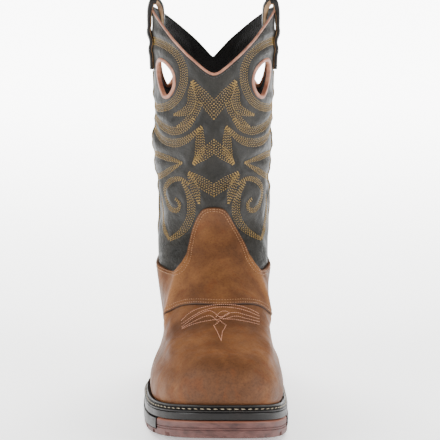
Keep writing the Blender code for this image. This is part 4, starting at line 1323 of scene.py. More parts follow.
# %% [markdown]
# ## Upper
# The shaft's front and back panels, their lining and the hidden part under the overlays are one wall, as
# on the finished boot, where they are glued and sewn into one layer. Its rows are closer on the shaft,
# which shows, than under the vamp. Towards the rim the wall is skived thinner for the binding.

# %% Upper wall
COLUMNS = 288
FOOT_ROWS = 44
LEG_ROWS = 96
RIM_WALL = 0.0012
SKIVED_FROM = 0.90

columns = around_boot(COLUMNS)
rim = SKIN.v_at(columns, collar_height(columns))
low_rows = np.linspace(0.0, ANKLE_ROW, FOOT_ROWS, endpoint=False)[:, None] * np.ones(COLUMNS)
leg_rows = ANKLE_ROW + (rim - ANKLE_ROW) * np.linspace(0.0, 1.0, LEG_ROWS)[:, None]
upper_v = np.concatenate([low_rows, leg_rows])
outer_face = SKIN.at(columns[None, :], upper_v)
outer_face[0, :, 2] = sole_line(outer_face[0, :, 1]) + GAP
skived = (leg_rows - ANKLE_ROW) / (rim - ANKLE_ROW)
wall_depth = np.full(upper_v.shape, WALL)
wall_depth[FOOT_ROWS:] = WALL - (WALL - RIM_WALL) * smoothstep(skived, SKIVED_FROM, 1.0)
inner_face = SKIN.at(columns[None, :], upper_v, -wall_depth)
inner_face[0, :, 2] = outer_face[0, :, 2]
inner_face[-1, :, 2] = outer_face[-1, :, 2]
print("wall of", len(upper_v), "rows, each of", COLUMNS, "columns")

# %% [markdown]
# ## Pull holes in the wall
# Faces whose middle lies inside a pull hole's egg-shaped outline are left out of the wall, and the open
# edges are closed between its two faces. The ragged cut is covered by the holes' bindings.

# %% Upper with its pull holes
HOLE_CUT = 0.0014
RULER_STEPS = 44
HOLE_RULER = PLAIN.at(np.linspace(0.0, 1.0, RULER_STEPS + 1), PLAIN.v_at(0.0, hole_z()))
HOLE_ROUND_SHAFT = np.sum(np.linalg.norm(np.diff(HOLE_RULER, axis=0), axis=1))


def hole_outline(seam, ahead, inset, off, steps=64):
    """The egg-shaped outline of a pull hole beside a side seam, wide above and narrow below."""
    turns = np.linspace(0.0, 2.0 * math.pi, steps, endpoint=False)
    up = np.cos(turns)
    out = np.sin(turns) * (1.0 + HOLE_EGG * up)
    u = seam + ahead * (HOLE_FROM_SEAM + out * (HOLE_WIDTH / 2.0 - inset)) / HOLE_ROUND_SHAFT
    z = hole_z() + up * (HOLE_HEIGHT / 2.0 - inset) - out * HOLE_TILT * HOLE_HEIGHT
    return u, z, SKIN.level(u, z, off)


def inside_outline(u, z, outline_u, outline_z):
    """True for points inside a closed outline, by counting the sides a level line crosses."""
    inside = np.zeros(u.shape, bool)
    for ua, za, ub, zb in zip(outline_u, outline_z, np.roll(outline_u, -1), np.roll(outline_z, -1)):
        crosses = (za > z) != (zb > z)
        with np.errstate(divide="ignore", invalid="ignore"):
            inside ^= crosses & (u < ua + (z - za) / (zb - za) * (ub - ua))
    return inside


def open_edges(faces):
    """The edges that only one face has, in the order in which the faces bring them."""
    edges = {}
    for face in faces:
        for a, b in zip(face, face[1:] + face[:1]):
            if (b, a) in edges:
                del edges[(b, a)]
            else:
                edges[(a, b)] = True
    return list(edges)


upper_faces = np.array(grid_faces(len(upper_v), COLUMNS, wrap=True))
face_u = (columns[None, :] + upper_v * 0.0).ravel()[upper_faces]
face_u = np.where(face_u.max(axis=1, keepdims=True) - face_u > 0.5, face_u + 1.0, face_u).mean(axis=1)
face_z = outer_face[..., 2].ravel()[upper_faces].mean(axis=1)
keep = np.ones(len(upper_faces), bool)
for _, seam, step in holes():
    hole_u, hole_height, _ = hole_outline(seam, step, HOLE_CUT, 0.0)
    keep &= ~inside_outline(face_u, face_z, hole_u, hole_height)
upper_faces = upper_faces[keep]
count = upper_v.size
walls = [(b, a, a + count, b + count) for a, b in open_edges(upper_faces.tolist())]
inner_faces = (upper_faces[:, ::-1] + count).tolist()
kinds = [0] * len(upper_faces) + [1] * len(inner_faces) + [0] * len(walls)
upper = new_piece("upper_leather", np.concatenate([outer_face.reshape(-1, 3), inner_face.reshape(-1, 3)]),
                  upper_faces.tolist() + inner_faces + walls, [shaft_leather, lining_mesh], "shaft_leather",
                  ["upper"], kinds)
print("upper has", len(upper.data.polygons), "faces")

# %% [markdown]
# ## Overlays
# The vamp, the saddle and the counter are cut from thicker oiled leather and sewn over the upper. Each is
# a closed shell between two lines on the skin. Its cut edge is rounded over, and every point knows how far
# it is from the edge, which the leather's finish and the seams use.

# %% Overlays
LEATHER_LIFT = 0.0001
EDGE_ROLL = 0.9


def gathered(count):
    """Steps from 0 to 1, closer together at both ends."""
    return 0.5 - 0.5 * np.cos(math.pi * np.linspace(0.0, 1.0, count))


def dense(line, step=0.0003):
    """A line of points with more points between them, about step apart."""
    made = []
    for start, end in zip(line, line[1:]):
        parts = max(1, int(np.linalg.norm(end - start) / step))
        made += [start + (end - start) * share for share in np.arange(parts) / parts]
    return np.array(made + [line[-1]])


def overlay(name, cut, rows, thick, finish, node):
    """A shell over the skin between the low and the high v of each column (u, low, high)."""
    u, low, high = np.array(cut).T
    v = low + (high - low) * gathered(rows)[:, None]
    base = SKIN.at(u[None, :], v, LEATHER_LIFT)
    outline = np.concatenate([base[0], base[:, -1], base[-1][::-1], base[::-1, 0]])
    away = distance_to(base, dense(outline))
    roll = EDGE_ROLL * thick
    share = np.clip(away / roll, 0.0, 1.0)
    height = thick - roll * (1.0 - np.sqrt(1.0 - (1.0 - share) ** 2))
    top = SKIN.at(u[None, :], v, LEATHER_LIFT + height)
    for face in (base, top):
        face[..., 2] = np.maximum(face[..., 2], sole_line(face[..., 1]) + GAP)
    across = len(u)
    faces = grid_faces(rows, across) + grid_faces(rows, across, first=rows * across)
    border = list(range(across)) + [row * across + across - 1 for row in range(1, rows)]
    border += [(rows - 1) * across + i for i in range(across - 2, -1, -1)]
    border += [row * across for row in range(rows - 2, 0, -1)]
    size = rows * across
    faces += [(a, b, b + size, a + size) for a, b in zip(border, border[1:] + border[:1])]
    points = np.concatenate([base.reshape(-1, 3), top.reshape(-1, 3)])
    lift = np.tile(SKIN.sample(SKIN.lift, u[None, :], v).ravel(), 2)
    return new_piece(name, points, faces, [finish], "brown_leather", [node], sharp=60.0,
                     values={"edge": np.concatenate([away.ravel() * 0.0, away.ravel()]), "lift": lift})


print("overlays roll over within", EDGE_ROLL, "of their thickness")

# %% [markdown]
# ## Vamp, saddle and counter
# Each overlay is cut column by column from its lowest to its highest line. The saddle ends at the counter
# behind the side seams, and the vamp ends a narrow gap short of the saddle's front edge.

# %% Vamp, saddle and counter
SADDLE_STEPS = 130
SADDLE_BACK_STEPS = 16
COUNTER_STEPS = 44
VAMP_ROW_COUNT, SADDLE_ROW_COUNT, COUNTER_ROW_COUNT = 84, 120, 64


def saddle_cut():
    """u, lowest v and top v of the saddle's columns on the outer side, from the middle to the counter."""
    line = [(share, height * SHAFT_HEIGHT) for share, height in spread(SADDLE_TOP, SADDLE_STEPS)]
    closing = gathered(2 * SADDLE_BACK_STEPS)[SADDLE_BACK_STEPS - 1 :: -1]
    back = 1.0 + COUNTER_FROM_SEAM * (1.0 - closing * 2.0)
    line += [(share, counter_height(share)) for share in back if share > 1.0]
    line += [(1.0 + COUNTER_FROM_SEAM, counter_height(1.0 + COUNTER_FROM_SEAM))]
    cut = []
    for share, z in line:
        u = PLAIN.u_round(share, z)
        cut.append((u, float(saddle_front(u)), float(PLAIN.v_at(u, z))))
    return cut


def counter_cut():
    """u, lowest v and top v of the counter's columns, from one side round the back to the other."""
    half = []
    start = 1.0 + COUNTER_FROM_SEAM + SEAM_GAP / SHAFT_DEPTH * 2.0
    for share in start + (2.0 - start) * (1.0 - np.cos(np.linspace(0.0, math.pi / 2.0, COUNTER_STEPS))):
        z = counter_height(share)
        u = PLAIN.u_round(share, z)
        half.append((u, 0.0, float(PLAIN.v_at(u, z))))
    return half + [(1.0 - u, low, top) for u, low, top in reversed(half[:-1])]


half_saddle = saddle_cut()
half_vamp = [(u, 0.0, low - row_step(u, low, SEAM_GAP)) for u, low, _ in half_saddle if low > 0.0]
vamp_cut = mirrored([cut for cut in half_vamp if cut[2] > 0.0])
for name, cut, rows, thick in (("vamp", vamp_cut, VAMP_ROW_COUNT, OVERLAY),
                               ("saddle", mirrored(half_saddle), SADDLE_ROW_COUNT, SADDLE_OVERLAY),
                               ("counter", counter_cut(), COUNTER_ROW_COUNT, OVERLAY)):
    piece = overlay(f"{name}_leather", cut, rows, thick, brown_leather, name)
    print(piece.name, "has", len(piece.data.polygons), "faces")

# %% [markdown]
# ## Bindings
# A strip of thin salmon leather is folded over the collar's edge, and narrower rolled strips finish the
# four pull holes, where fingers pull the boot on. Each is a closed roll that holds the wall's edge. Inside
# the shaft the lining's dark mesh covers the collar's strip.

# %% Bindings
COLLAR_FOLD = 0.0012
COLLAR_THICK = 0.0004
COLLAR_ROUND = 0.0009
LINED_FROM = 1.3
HOLE_LAP = 0.0005
HOLE_TUCK = 0.0002
HOLE_BEVEL = 0.0004
HOLE_ROUND = 0.0008

along = np.roll(outer_face[-1], -1, axis=0) - np.roll(outer_face[-1], 1, axis=0)
out = SKIN.sample(SKIN.normal, columns, upper_v[-1])
up = np.cross(out, along)
up *= np.sign(up[:, 2:]) / np.linalg.norm(up, axis=1, keepdims=True)
fold = rounded(((COLLAR_THICK, -COLLAR_FOLD), (COLLAR_THICK, COLLAR_THICK * 2.0),
                (-RIM_WALL - COLLAR_THICK, COLLAR_THICK * 2.0), (-RIM_WALL - COLLAR_THICK, -COLLAR_FOLD)),
               COLLAR_ROUND)
collar_loops = [outer_face[-1] + out * aside + up * rise for aside, rise in fold]
points, faces = loft(collar_loops, around=True)
asides = np.array(fold)[:, 0]
inner_half = asides + np.roll(asides, -1) < -RIM_WALL * LINED_FROM
new_piece("collar_roll", points, faces, [binding_leather, lining_mesh], "binding_leather",
          ["collar_binding"], kinds=np.repeat(inner_half.astype(int), len(faces) // len(fold)))

hole_roll = rounded(((-HOLE_LAP, HOLE_TUCK), (HOLE_BEVEL, HOLE_PROUD), (HOLE_RIM - HOLE_BEVEL, HOLE_PROUD),
                     (HOLE_RIM, -WALL / 2.0), (HOLE_RIM - HOLE_BEVEL, -WALL - HOLE_PROUD),
                     (HOLE_BEVEL, -WALL - HOLE_PROUD), (-HOLE_LAP, -WALL - HOLE_TUCK)), HOLE_ROUND)
for name, seam, step in holes():
    loops = [hole_outline(seam, step, inset, off)[2] for inset, off in hole_roll]
    new_piece(f"hole_roll_{name}", *loft(loops, around=True), [binding_leather], "binding_leather",
              [f"pull_hole_binding_{name}"])
print("collar bound, and", len(list(holes())), "pull holes")

# %% [markdown]
# ## Side piping
# A folded strip of leather, a little paler than the shaft, covers each side seam from the saddle up to the
# pull strap.

# %% Side piping
PIPING_STEPS = 60
PIPING_OUT = 0.4


def cord_of(line, radius, around=10):
    """Loops of a round cord along a line of points."""
    along = np.gradient(line, axis=0)
    along /= np.linalg.norm(along, axis=1, keepdims=True)
    side = np.cross(along, np.array((1.0, 0.0, 0.0)))
    side /= np.linalg.norm(side, axis=1, keepdims=True)
    other = np.cross(along, side)
    turns = np.linspace(0.0, 2.0 * math.pi, around, endpoint=False)
    return [centre + radius * (np.cos(turns)[:, None] * a + np.sin(turns)[:, None] * b)
            for centre, a, b in zip(line, side, other)]


piping_low = SHAFT_HEIGHT * SADDLE_TOP[-1][1] + PIPING_RADIUS + GAP
piping_high = SHAFT_HEIGHT - STRAP_LEG - STRAP_THICK
piping_z = np.linspace(piping_low, piping_high, PIPING_STEPS)
seam_u = np.array([PLAIN.u_seam(z) for z in piping_z])
for name, u in (("outer", seam_u), ("inner", 1.0 - seam_u)):
    line = SKIN.level(u, piping_z, PIPING_RADIUS * PIPING_OUT)
    new_piece(f"seam_piping_{name}", *loft(cord_of(line, PIPING_RADIUS)), [piping_leather], "shaft_leather",
              [f"side_piping_{name}"])
print("piping from", piping_low, "to", piping_high)

# %% [markdown]
# ## Pull straps
# A strap is sewn to the outside over each side seam, stands up in a loop over the collar's peak, and is
# sewn down again inside. It is padded inside the loop, its edges are rounded, and its inner face is the
# leather's undyed flesh side. STRAP_SNUG draws the loop closer to the shaft.

# %% Pull straps
STRAP_ROWS = 90
STRAP_ACROSS = 17
STRAP_FULL = 0.0031
STRAP_SNUG = 0.82
STRAP_PAD = 0.0013
STRAP_PAD_FROM = 0.008
STRAP_EDGE = 0.45
STRAP_EDGE_REACH = 0.35


def strap_line(seam, across):
    """The strap's middle surface as rows of points, from its sewn outer end to its inner end."""
    around = SHAFT_WIDTH + SHAFT_DEPTH
    half = STRAP_WIDTH / 2.0 / (around * math.pi / 2.0)
    seat = GAP + STRAP_FULL / 2.0
    rows = []
    for share, height in spread(STRAP_LINE, STRAP_ROWS):
        off = share * STRAP_RISE * STRAP_SNUG
        off = max(off, seat) if height < 0.0 and share > 0.0 else off
        off = min(off, -WALL - seat) if height < 0.0 and share < 0.0 else off
        u = seam + half * across
        rows.append(SKIN.level(u, SHAFT_HEIGHT + height * STRAP_LEG, off))
    return np.array(rows)


for name, seam in (("outer", 0.25), ("inner", 0.75)):
    across = -np.cos(np.linspace(0.0, math.pi, STRAP_ACROSS))
    middle = strap_line(seam, across)
    out = np.cross(np.gradient(middle, axis=0), np.gradient(middle, axis=1))
    out /= np.linalg.norm(out, axis=2, keepdims=True)
    from_edge = (1.0 - np.abs(across)) * STRAP_WIDTH / 2.0
    share = np.clip(from_edge / (STRAP_FULL * STRAP_EDGE_REACH), 0.0, 1.0)
    half_thick = STRAP_FULL / 2.0 * (STRAP_EDGE + (1.0 - STRAP_EDGE) * np.sqrt(1.0 - (1.0 - share) ** 2))
    top = middle + out * half_thick[:, None]
    loop = np.clip((middle[:, :, 2:] - SHAFT_HEIGHT + STRAP_PAD_FROM) / STRAP_PAD_FROM, 0.0, 1.0)
    under = middle - out * (half_thick[:, None] + STRAP_PAD * loop)
    points, faces = loft(np.concatenate([top, under[:, ::-1]], axis=1))
    column = np.arange(len(faces)) % (2 * STRAP_ACROSS)
    inside = np.arange(len(faces)) > len(faces) / 2
    flesh = (column >= STRAP_ACROSS) & (column < 2 * STRAP_ACROSS - 1) | inside & (column >= STRAP_ACROSS - 1)
    new_piece(f"strap_{name}", points, faces, [strap_leather, raw_leather], "strap_leather",
              [f"pull_strap_{name}"], kinds=flesh.astype(int), sharp=50.0)
print("straps", STRAP_WIDTH, "wide and", STRAP_FULL, "thick")

# %% [markdown]
# ## Welt
# Under the upper lie the welt, the midsole and the outsole, one after another, each following the sole
# line from the toe's spring up the arch to the heel seat. The welt carries a storm rib beside the upper.

# %% Welt
SOLE_COLUMNS = 320
RIB_FROM = SADDLE_OVERLAY + STORM_RIB_CLEARANCE
RIB_ROUND = 0.00065
WELT_FALL = 0.0026

sole_columns = around_boot(SOLE_COLUMNS)


def sole_loop(inset, height, at=sole_columns, from_skin=None):
    """A loop moved in by inset from the sole's edge, or out by from_skin from the skin, at a height."""
    foot = PLAIN.at(at, 0.0)
    side = PLAIN.sample(PLAIN.normal, at, 0.0) * np.array([1.0, 1.0, 0.0])
    side /= np.linalg.norm(side, axis=1, keepdims=True)
    out = OVERLAY + edge_margin(foot[:, 1]) - inset if from_skin is None else np.full(len(foot), from_skin)
    loop = foot + side * out[:, None]
    loop[:, 2] = height(loop[:, 1])
    return loop


def above(base, rise):
    """A height function that lies a distance above another."""
    return lambda y: base(y) + rise


edge = edge_margin(toe_y())
welt_shape = ((0.0002, -WELT_THICK), (0.0, -WELT_THICK + 0.0004), (0.0, -WELT_FALL),
              (0.0006, -WELT_FALL + 0.0006), (0.0022, -0.0004), (0.0026, 0.0))
welt_loops = [sole_loop(edge + WELT_LIP, above(sole_line, -WELT_THICK))]
welt_loops += [sole_loop(inset, above(sole_line, rise)) for inset, rise in welt_shape]
rib_shape = rounded(((RIB_FROM + STORM_RIB, 0.0), (RIB_FROM + STORM_RIB, STORM_RIB_HEIGHT),
                     (RIB_FROM, STORM_RIB_HEIGHT), (RIB_FROM, 0.0)), RIB_ROUND)[3:-3]
welt_loops += [sole_loop(0.0, above(sole_line, rise), from_skin=out) for out, rise in rib_shape]
welt_loops += [sole_loop(edge + WELT_LIP, sole_line)]
new_piece("welt_strip", *loft(welt_loops, around=True), [black_rubber], "black_rubber", ["welt"])
print("welt stands out", edge, "in front")

# %% [markdown]
# ## Midsole
# A flat layer of black rubber with rounded edges, and a raised bed that fills the last's underside.

# %% Midsole
MIDSOLE_ROUND = 0.0010
MIDSOLE_IN = 0.02

bed = edge + WELT_LIP + GAP
base_rise = -WELT_THICK - GAP
middle_profile = rounded(((MIDSOLE_IN, base_rise - MIDSOLE_THICK), (0.0, base_rise - MIDSOLE_THICK),
                          (0.0, base_rise), (MIDSOLE_IN, base_rise)), MIDSOLE_ROUND)[5:15]
loops = [sole_loop(bed, above(sole_line, base_rise - MIDSOLE_THICK))]
loops += [sole_loop(inset, above(sole_line, rise)) for inset, rise in middle_profile]
loops += [sole_loop(bed, above(sole_line, base_rise)), sole_loop(bed, sole_line)]
new_piece("midsole_layer", *loft(loops), [black_rubber], "black_rubber", ["midsole"])
print("midsole", MIDSOLE_THICK, "thick")

# %% [markdown]
# ## The outsole's form
# The outsole's edge is moulded with two grooves round it. Its section is given as pairs of inset and of
# height, as a share of the way from the tread to the midsole.

# %% The outsole's form
OUTSOLE_IN = 0.012
OUTSOLE_SHAPE = (
    (0.0018, 0.000), (0.0007, 0.020), (0.0002, 0.050), (0.0, 0.100), (0.0, 0.415), (0.0002, 0.430),
    (0.0006, 0.440), (0.0006, 0.465), (0.0002, 0.475), (0.0, 0.490), (0.0, 0.545), (0.0002, 0.555),
    (0.0006, 0.565),
    (0.0006, 0.590), (0.0002, 0.600), (0.0, 0.615), (0.0, 0.870), (0.0002, 0.915), (0.0006, 0.955),
    (0.0013, 0.985), (0.0022, 1.000))
loops = [sole_loop(OUTSOLE_IN, tread)]
loops += [sole_loop(inset, between(tread, under_midsole, share)) for inset, share in OUTSOLE_SHAPE]
loops += [sole_loop(OUTSOLE_IN, under_midsole)]
outsole_points, outsole_faces = loft(loops)
print("outsole of", len(outsole_faces), "faces before it is carved")

# %% [markdown]
# ## Cutters
# Hollows are carved out of the sole with hidden cutters, as a mould's cores leave them: grooves between
# the edge lugs and the tread bars here, and the guards' seats and the heel's breast below.

# %% Cutters
def cutter(points, faces, name):
    """A hidden mesh that cuts another."""
    return put(name, solid_mesh(name, points, faces))


def carve(piece, *cutters):
    """Takes the cutters' volumes out of a piece and leaves a plain mesh."""
    for tool in cutters:
        cut = piece.modifiers.new("cut", "BOOLEAN")
        cut.operation = "DIFFERENCE"
        cut.object = tool
    bpy.context.view_layer.update()
    depsgraph = bpy.context.evaluated_depsgraph_get()
    mesh = bpy.data.meshes.new_from_object(piece.evaluated_get(depsgraph))
    piece.modifiers.clear()
    piece.data = mesh
    shade(mesh, SHARP)
    for tool in cutters:
        bpy.data.objects.remove(tool)


def lug_grooves():
    """Grooves across the tread's edge and between the bars of its middle, as boxes."""
    points, faces, boxes = [], [], []
    loop = sole_loop(0.0, tread)
    loop = loop[np.argsort(loop[:, 1])]
    middle_x = TOE_SWING / 2.0
    for t in np.linspace(LUGS_FROM, LUGS_TO, int((LUGS_TO - LUGS_FROM) * LAST_LENGTH / LUG_PITCH)):
        y = toe_y() + t * LAST_LENGTH
        for side in (-1.0, 1.0):
            half = loop[np.sign(loop[:, 0] - middle_x) == side]
            x = float(np.interp(y, half[:, 1], half[:, 0]))
            boxes.append(((x, y, float(tread(y))), (2.0 * LUG_REACH, LUG_GROOVE, 2.0 * LUG_DEPTH)))
        middle = y + LUG_PITCH / 2.0
        boxes.append(((middle_x, middle, float(tread(middle))), (BAR_WIDTH, BAR_GROOVE, 2.0 * BAR_DEPTH)))
    for centre, size in boxes:
        first = len(points)
        for level in (-0.5, 0.5):
            for x, y in ((-0.5, -0.5), (0.5, -0.5), (0.5, 0.5), (-0.5, 0.5)):
                points.append(np.array(centre) + np.array(size) * (x, y, level))
        faces += [[first + i for i in face] for face in
                  ((0, 1, 2, 3), (4, 5, 6, 7), (0, 1, 5, 4), (1, 2, 6, 5), (2, 3, 7, 6), (3, 0, 4, 7))]
    return cutter(points, faces, "lug_grooves")


print("tread grooves", LUG_GROOVE, "and", BAR_GROOVE, "wide")

# %% [markdown]
# ## Outsole and guards
# Black moulded guards sit in seats in the outsole's edge on both sides. Each bulges a little out of its
# seat and is rounded along its two long edges.

# %% Outsole and guards
GUARD_STEPS = 60
GUARD_END_GAP = 0.001
GUARD_SHAPE = ((GUARD_THICK, 0.0), (0.0004, 0.0), (-0.0004, 0.06), (-0.0007, 0.2), (-0.0007, 0.8),
               (-0.0004, 0.94), (0.0004, 1.0), (GUARD_THICK, 1.0))


def edge_band(span, rows):
    """A band along part of the sole's edge, closed at both ends, from pairs of inset and height."""
    sections = np.stack([sole_loop(inset, height, span) for inset, height in rows], axis=1)
    return loft(sections)


def guard_foot(y):
    """The guards' lower edge."""
    return tread(y) + GUARD_FOOT


outsole = new_piece("outsole_rubber", outsole_points, outsole_faces, [mauve_rubber], "brown_rubber",
                    ["outsole"])
seats = []
for name, span in GUARD_SPAN.items():
    steps = np.linspace(*span, GUARD_STEPS)
    steps = steps if name == "outer" else np.sort(1.0 - steps)
    wide = np.concatenate([[steps[0] - GUARD_END_GAP], steps, [steps[-1] + GUARD_END_GAP]])
    seat = ((GUARD_THICK + GAP, above(guard_foot, -GAP)), (-WALL, above(guard_foot, -GAP)),
            (-WALL, above(under_midsole, WALL)), (GUARD_THICK + GAP, above(under_midsole, WALL)))
    seats.append(cutter(*edge_band(wide, seat), f"guard_seat_{name}"))
    guard_top = above(under_midsole, -GAP)
    band = [(inset, between(guard_foot, guard_top, rise)) for inset, rise in GUARD_SHAPE]
    new_piece(f"edge_guard_{name}", *edge_band(steps, band), [black_rubber], "black_rubber",
              [f"side_guard_{name}"])
carve(outsole, *seats, lug_grooves())
places = np.empty(len(outsole.data.vertices) * 3, np.float32)
outsole.data.vertices.foreach_get("co", places)
places = places.reshape(-1, 3)
rise = (places[:, 2] - tread(places[:, 1])) / (under_midsole(places[:, 1]) - tread(places[:, 1]))
store(outsole.data, "rise", rise)
print("outsole has", len(outsole.data.polygons), "faces")

# %% [markdown]
# ## Heel
# The heel is a black block with a rubber lift under it. Both taper towards the floor, and their front
# face, the breast, is hollowed a little.

# %% Heel
BREAST_STEPS = 33
BREAST_BEND = 2.2


def breast_cutter(name):
    """All that lies ahead of the heel's breast, which is hollowed a little."""
    breast = toe_y() + BREAST_AT * LAST_LENGTH
    steps = np.linspace(-1.0, 1.0, BREAST_STEPS)
    line = [(x * BALL_WIDTH, breast + BREAST_HOLLOW * max(0.0, 1.0 - (BREAST_BEND * x) ** 2)) for x in steps]
    outline = line + [(BALL_WIDTH, toe_y() - BALL_WIDTH), (-BALL_WIDTH, toe_y() - BALL_WIDTH)]
    points = [(x, y, z) for z in (-HEEL_LIFT, HEEL_HEIGHT) for x, y in outline]
    count = len(outline)
    faces = [list(range(count)), list(range(count, 2 * count))]
    faces += [[i, (i + 1) % count, (i + 1) % count + count, i + count] for i in range(count)]
    return cutter(points, faces, name)


seat_height = HEEL_HEIGHT - WELT_THICK - MIDSOLE_THICK - OUTSOLE_SHANK - 3.0 * GAP
block = ((HEEL_LIFT + GAP, HEEL_TAPER + 0.0005), (HEEL_LIFT + GAP + 0.0006, HEEL_TAPER),
         (seat_height - 0.0006, OUTSOLE_STEP), (seat_height, OUTSOLE_STEP + 0.0005))
lift = ((0.0, HEEL_TAPER + EDGE_ROUND), (0.0004, HEEL_TAPER + 0.0004), (EDGE_ROUND, HEEL_TAPER),
        (HEEL_LIFT - 0.0006, HEEL_TAPER), (HEEL_LIFT, HEEL_TAPER + 0.0005))
for name, rows, finish, slot in (("heel_block", block, black_rubber, "black_rubber"),
                                 ("heel_lift", lift, mauve_rubber, "brown_rubber")):
    loops = [sole_loop(inset, lambda y, z=z: np.full_like(y, z)) for z, inset in rows]
    piece = new_piece(f"{name}_rubber", *loft(loops), [finish], slot, [name])
    carve(piece, breast_cutter(f"{name}_breast"))
print("heel", seat_height, "high at its breast")

# %% [markdown]
# ## Insole
# A loose footbed lies inside on the board. Only its surface shows, deep in the shaft.

# %% Insole
insole_rows = ((0.0, 0.0), (0.0, INSOLE_THICK - 0.001), (0.0004, INSOLE_THICK - 0.0003),
               (0.0012, INSOLE_THICK))
loops = [sole_loop(0.0, above(sole_line, GAP + rise), from_skin=-(WALL + INSOLE_CLEARANCE + inset))
         for inset, rise in insole_rows]
new_piece("footbed_pad", *loft(loops), [footbed_fabric], "footbed", ["insole"])
print(len(root_pieces), "pieces made")

# %% [markdown]
# ## Thread
# Every seam is a row of short stitches. A Geometry Nodes tree follows each row's line, sets a small
# flattened bead of thread at every step, lays it flat on the leather, turns it along the line and slants it
# by the angle stored there. One tree makes them all.

# %% The stitch tree
STITCH_DETAIL = 1
BEAD_RADIUS = 0.5


def stitch_tree():
    """A node group that turns lines with an up direction into rows of stitches."""
    tree = bpy.data.node_groups.new("stitch rows", "GeometryNodeTree")
    tree.interface.new_socket("Geometry", in_out="INPUT", socket_type="NodeSocketGeometry")
    for name in ("Pitch", "Length", "Width", "Height"):
        tree.interface.new_socket(name, in_out="INPUT", socket_type="NodeSocketFloat")
    tree.interface.new_socket("Thread", in_out="INPUT", socket_type="NodeSocketMaterial")
    tree.interface.new_socket("Geometry", in_out="OUTPUT", socket_type="NodeSocketGeometry")
    given = add_node(tree, "NodeGroupInput").outputs
    lines = add_node(tree, "GeometryNodeMeshToCurve", links={0: given["Geometry"]})
    points = add_node(tree, "GeometryNodeResampleCurve", {"mode": "LENGTH"},
                      {"Curve": lines.outputs[0], "Length": given["Pitch"]})
    up = add_node(tree, "GeometryNodeInputNamedAttribute", {"data_type": "FLOAT_VECTOR"}, Name="up")
    tangent = add_node(tree, "GeometryNodeInputTangent")
    level = add_node(tree, "FunctionNodeAlignRotationToVector", {"axis": "Z"}, {"Vector": up.outputs[0]})
    turned = add_node(tree, "FunctionNodeAlignRotationToVector", {"axis": "X", "pivot_axis": "Z"},
                      {"Rotation": level.outputs[0], "Vector": tangent.outputs[0]})
    slant = add_node(tree, "GeometryNodeInputNamedAttribute", {"data_type": "FLOAT"}, Name="slant")
    about_up = add_node(tree, "ShaderNodeCombineXYZ", links={2: slant.outputs[0]})
    by = add_node(tree, "FunctionNodeEulerToRotation", links={0: about_up.outputs[0]})
    slanted = add_node(tree, "FunctionNodeRotateRotation", {"rotation_space": "LOCAL"},
                       {0: turned.outputs[0], 1: by.outputs[0]})
    size = add_node(tree, "ShaderNodeCombineXYZ",
                    links={0: given["Length"], 1: given["Width"], 2: given["Height"]})
    bead = add_node(tree, "GeometryNodeMeshIcoSphere", Radius=BEAD_RADIUS, Subdivisions=STITCH_DETAIL)
    placed = add_node(tree, "GeometryNodeInstanceOnPoints",
                      links={"Points": points.outputs[0], "Instance": bead.outputs[0],
                             "Rotation": slanted.outputs[0], "Scale": size.outputs[0]})
    real = add_node(tree, "GeometryNodeRealizeInstances", links={0: placed.outputs[0]})
    smooth = add_node(tree, "GeometryNodeSetShadeSmooth", links={0: real.outputs[0]})
    finished = add_node(tree, "GeometryNodeSetMaterial",
                        links={"Geometry": smooth.outputs[0], "Material": given["Thread"]})
    add_node(tree, "NodeGroupOutput", links={0: finished.outputs[0]})
    return tree


STITCH_TREE = stitch_tree()
print("stitch tree of", len(STITCH_TREE.nodes), "nodes")

# %% [markdown]
# ## Kinds of stitches
# Every kind of seam has its own step between stitches, its own length, width and height of a stitch, and
# its own thread. The stitches of a row can slant, each by the same angle.

# %% Kinds of stitches
Stitch = namedtuple("Stitch", "pitch length width height thread")
SHAFT_STITCH = Stitch(0.0021, 0.0020, 0.00056, 0.00045, gold_thread)
SEAM_STITCH = Stitch(0.0023, 0.0021, 0.00050, 0.00040, gold_thread)
SADDLE_STITCH = Stitch(0.0022, 0.0017, 0.00070, 0.00050, tan_thread)
COUNTER_STITCH = Stitch(0.0021, 0.0019, 0.00050, 0.00040, tan_thread)
VAMP_STITCH = Stitch(0.0016, 0.0015, 0.00075, 0.00060, pink_thread)
WELT_STITCH = Stitch(0.0052, 0.0037, 0.0008, 0.0007, cream_thread)
COLLAR_STITCH = Stitch(0.0024, 0.0020, 0.00045, 0.00035, dark_thread)
THREAD_SINK = 0.00012
SIDES = (1.0, -1.0)


def sewn(name, lines, stitch):
    """Stitches along lines, each its points, the leather's direction there and, if slanted, the slant."""
    points, ups, slants, edges = [], [], [], []
    for line, up, *slant in lines:
        first = len(points)
        points += list(line)
        ups += list(up)
        slants += (slant or [0.0]) * len(line)
        edges += [(first + i, first + i + 1) for i in range(len(line) - 1)]
    mesh = bpy.data.meshes.new(name)
    mesh.from_pydata(np.array(points).tolist(), edges, [])
    mesh.attributes.new("up", "FLOAT_VECTOR", "POINT").data.foreach_set("vector", np.array(ups).ravel())
    store(mesh, "slant", slants)
    made = put(name, mesh)
    rows = made.modifiers.new("stitches", "NODES")
    rows.node_group = STITCH_TREE
    values = dict(zip(("Pitch", "Length", "Width", "Height", "Thread"), stitch))
    for item in STITCH_TREE.interface.items_tree:
        if item.in_out == "INPUT" and item.name in values:
            rows[item.identifier] = values[item.name]
    bpy.context.view_layer.update()
    plain_mesh = bpy.data.meshes.new_from_object(made.evaluated_get(bpy.context.evaluated_depsgraph_get()))
    made.modifiers.clear()
    made.data = plain_mesh
    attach(made, "root")
    print(name, "has", len(plain_mesh.polygons), "faces")


# %% [markdown]
# ## The pattern's thread
# Every stroke is four to six rows of gold thread, which draw together at the stroke's tips. The stitches
# of neighbouring rows slant against each other, and that gives the herringbone seen from a step away.

# %% Shaft stitches
HERRINGBONE = math.radians(38.0)
TIP_SHARE = 3.0


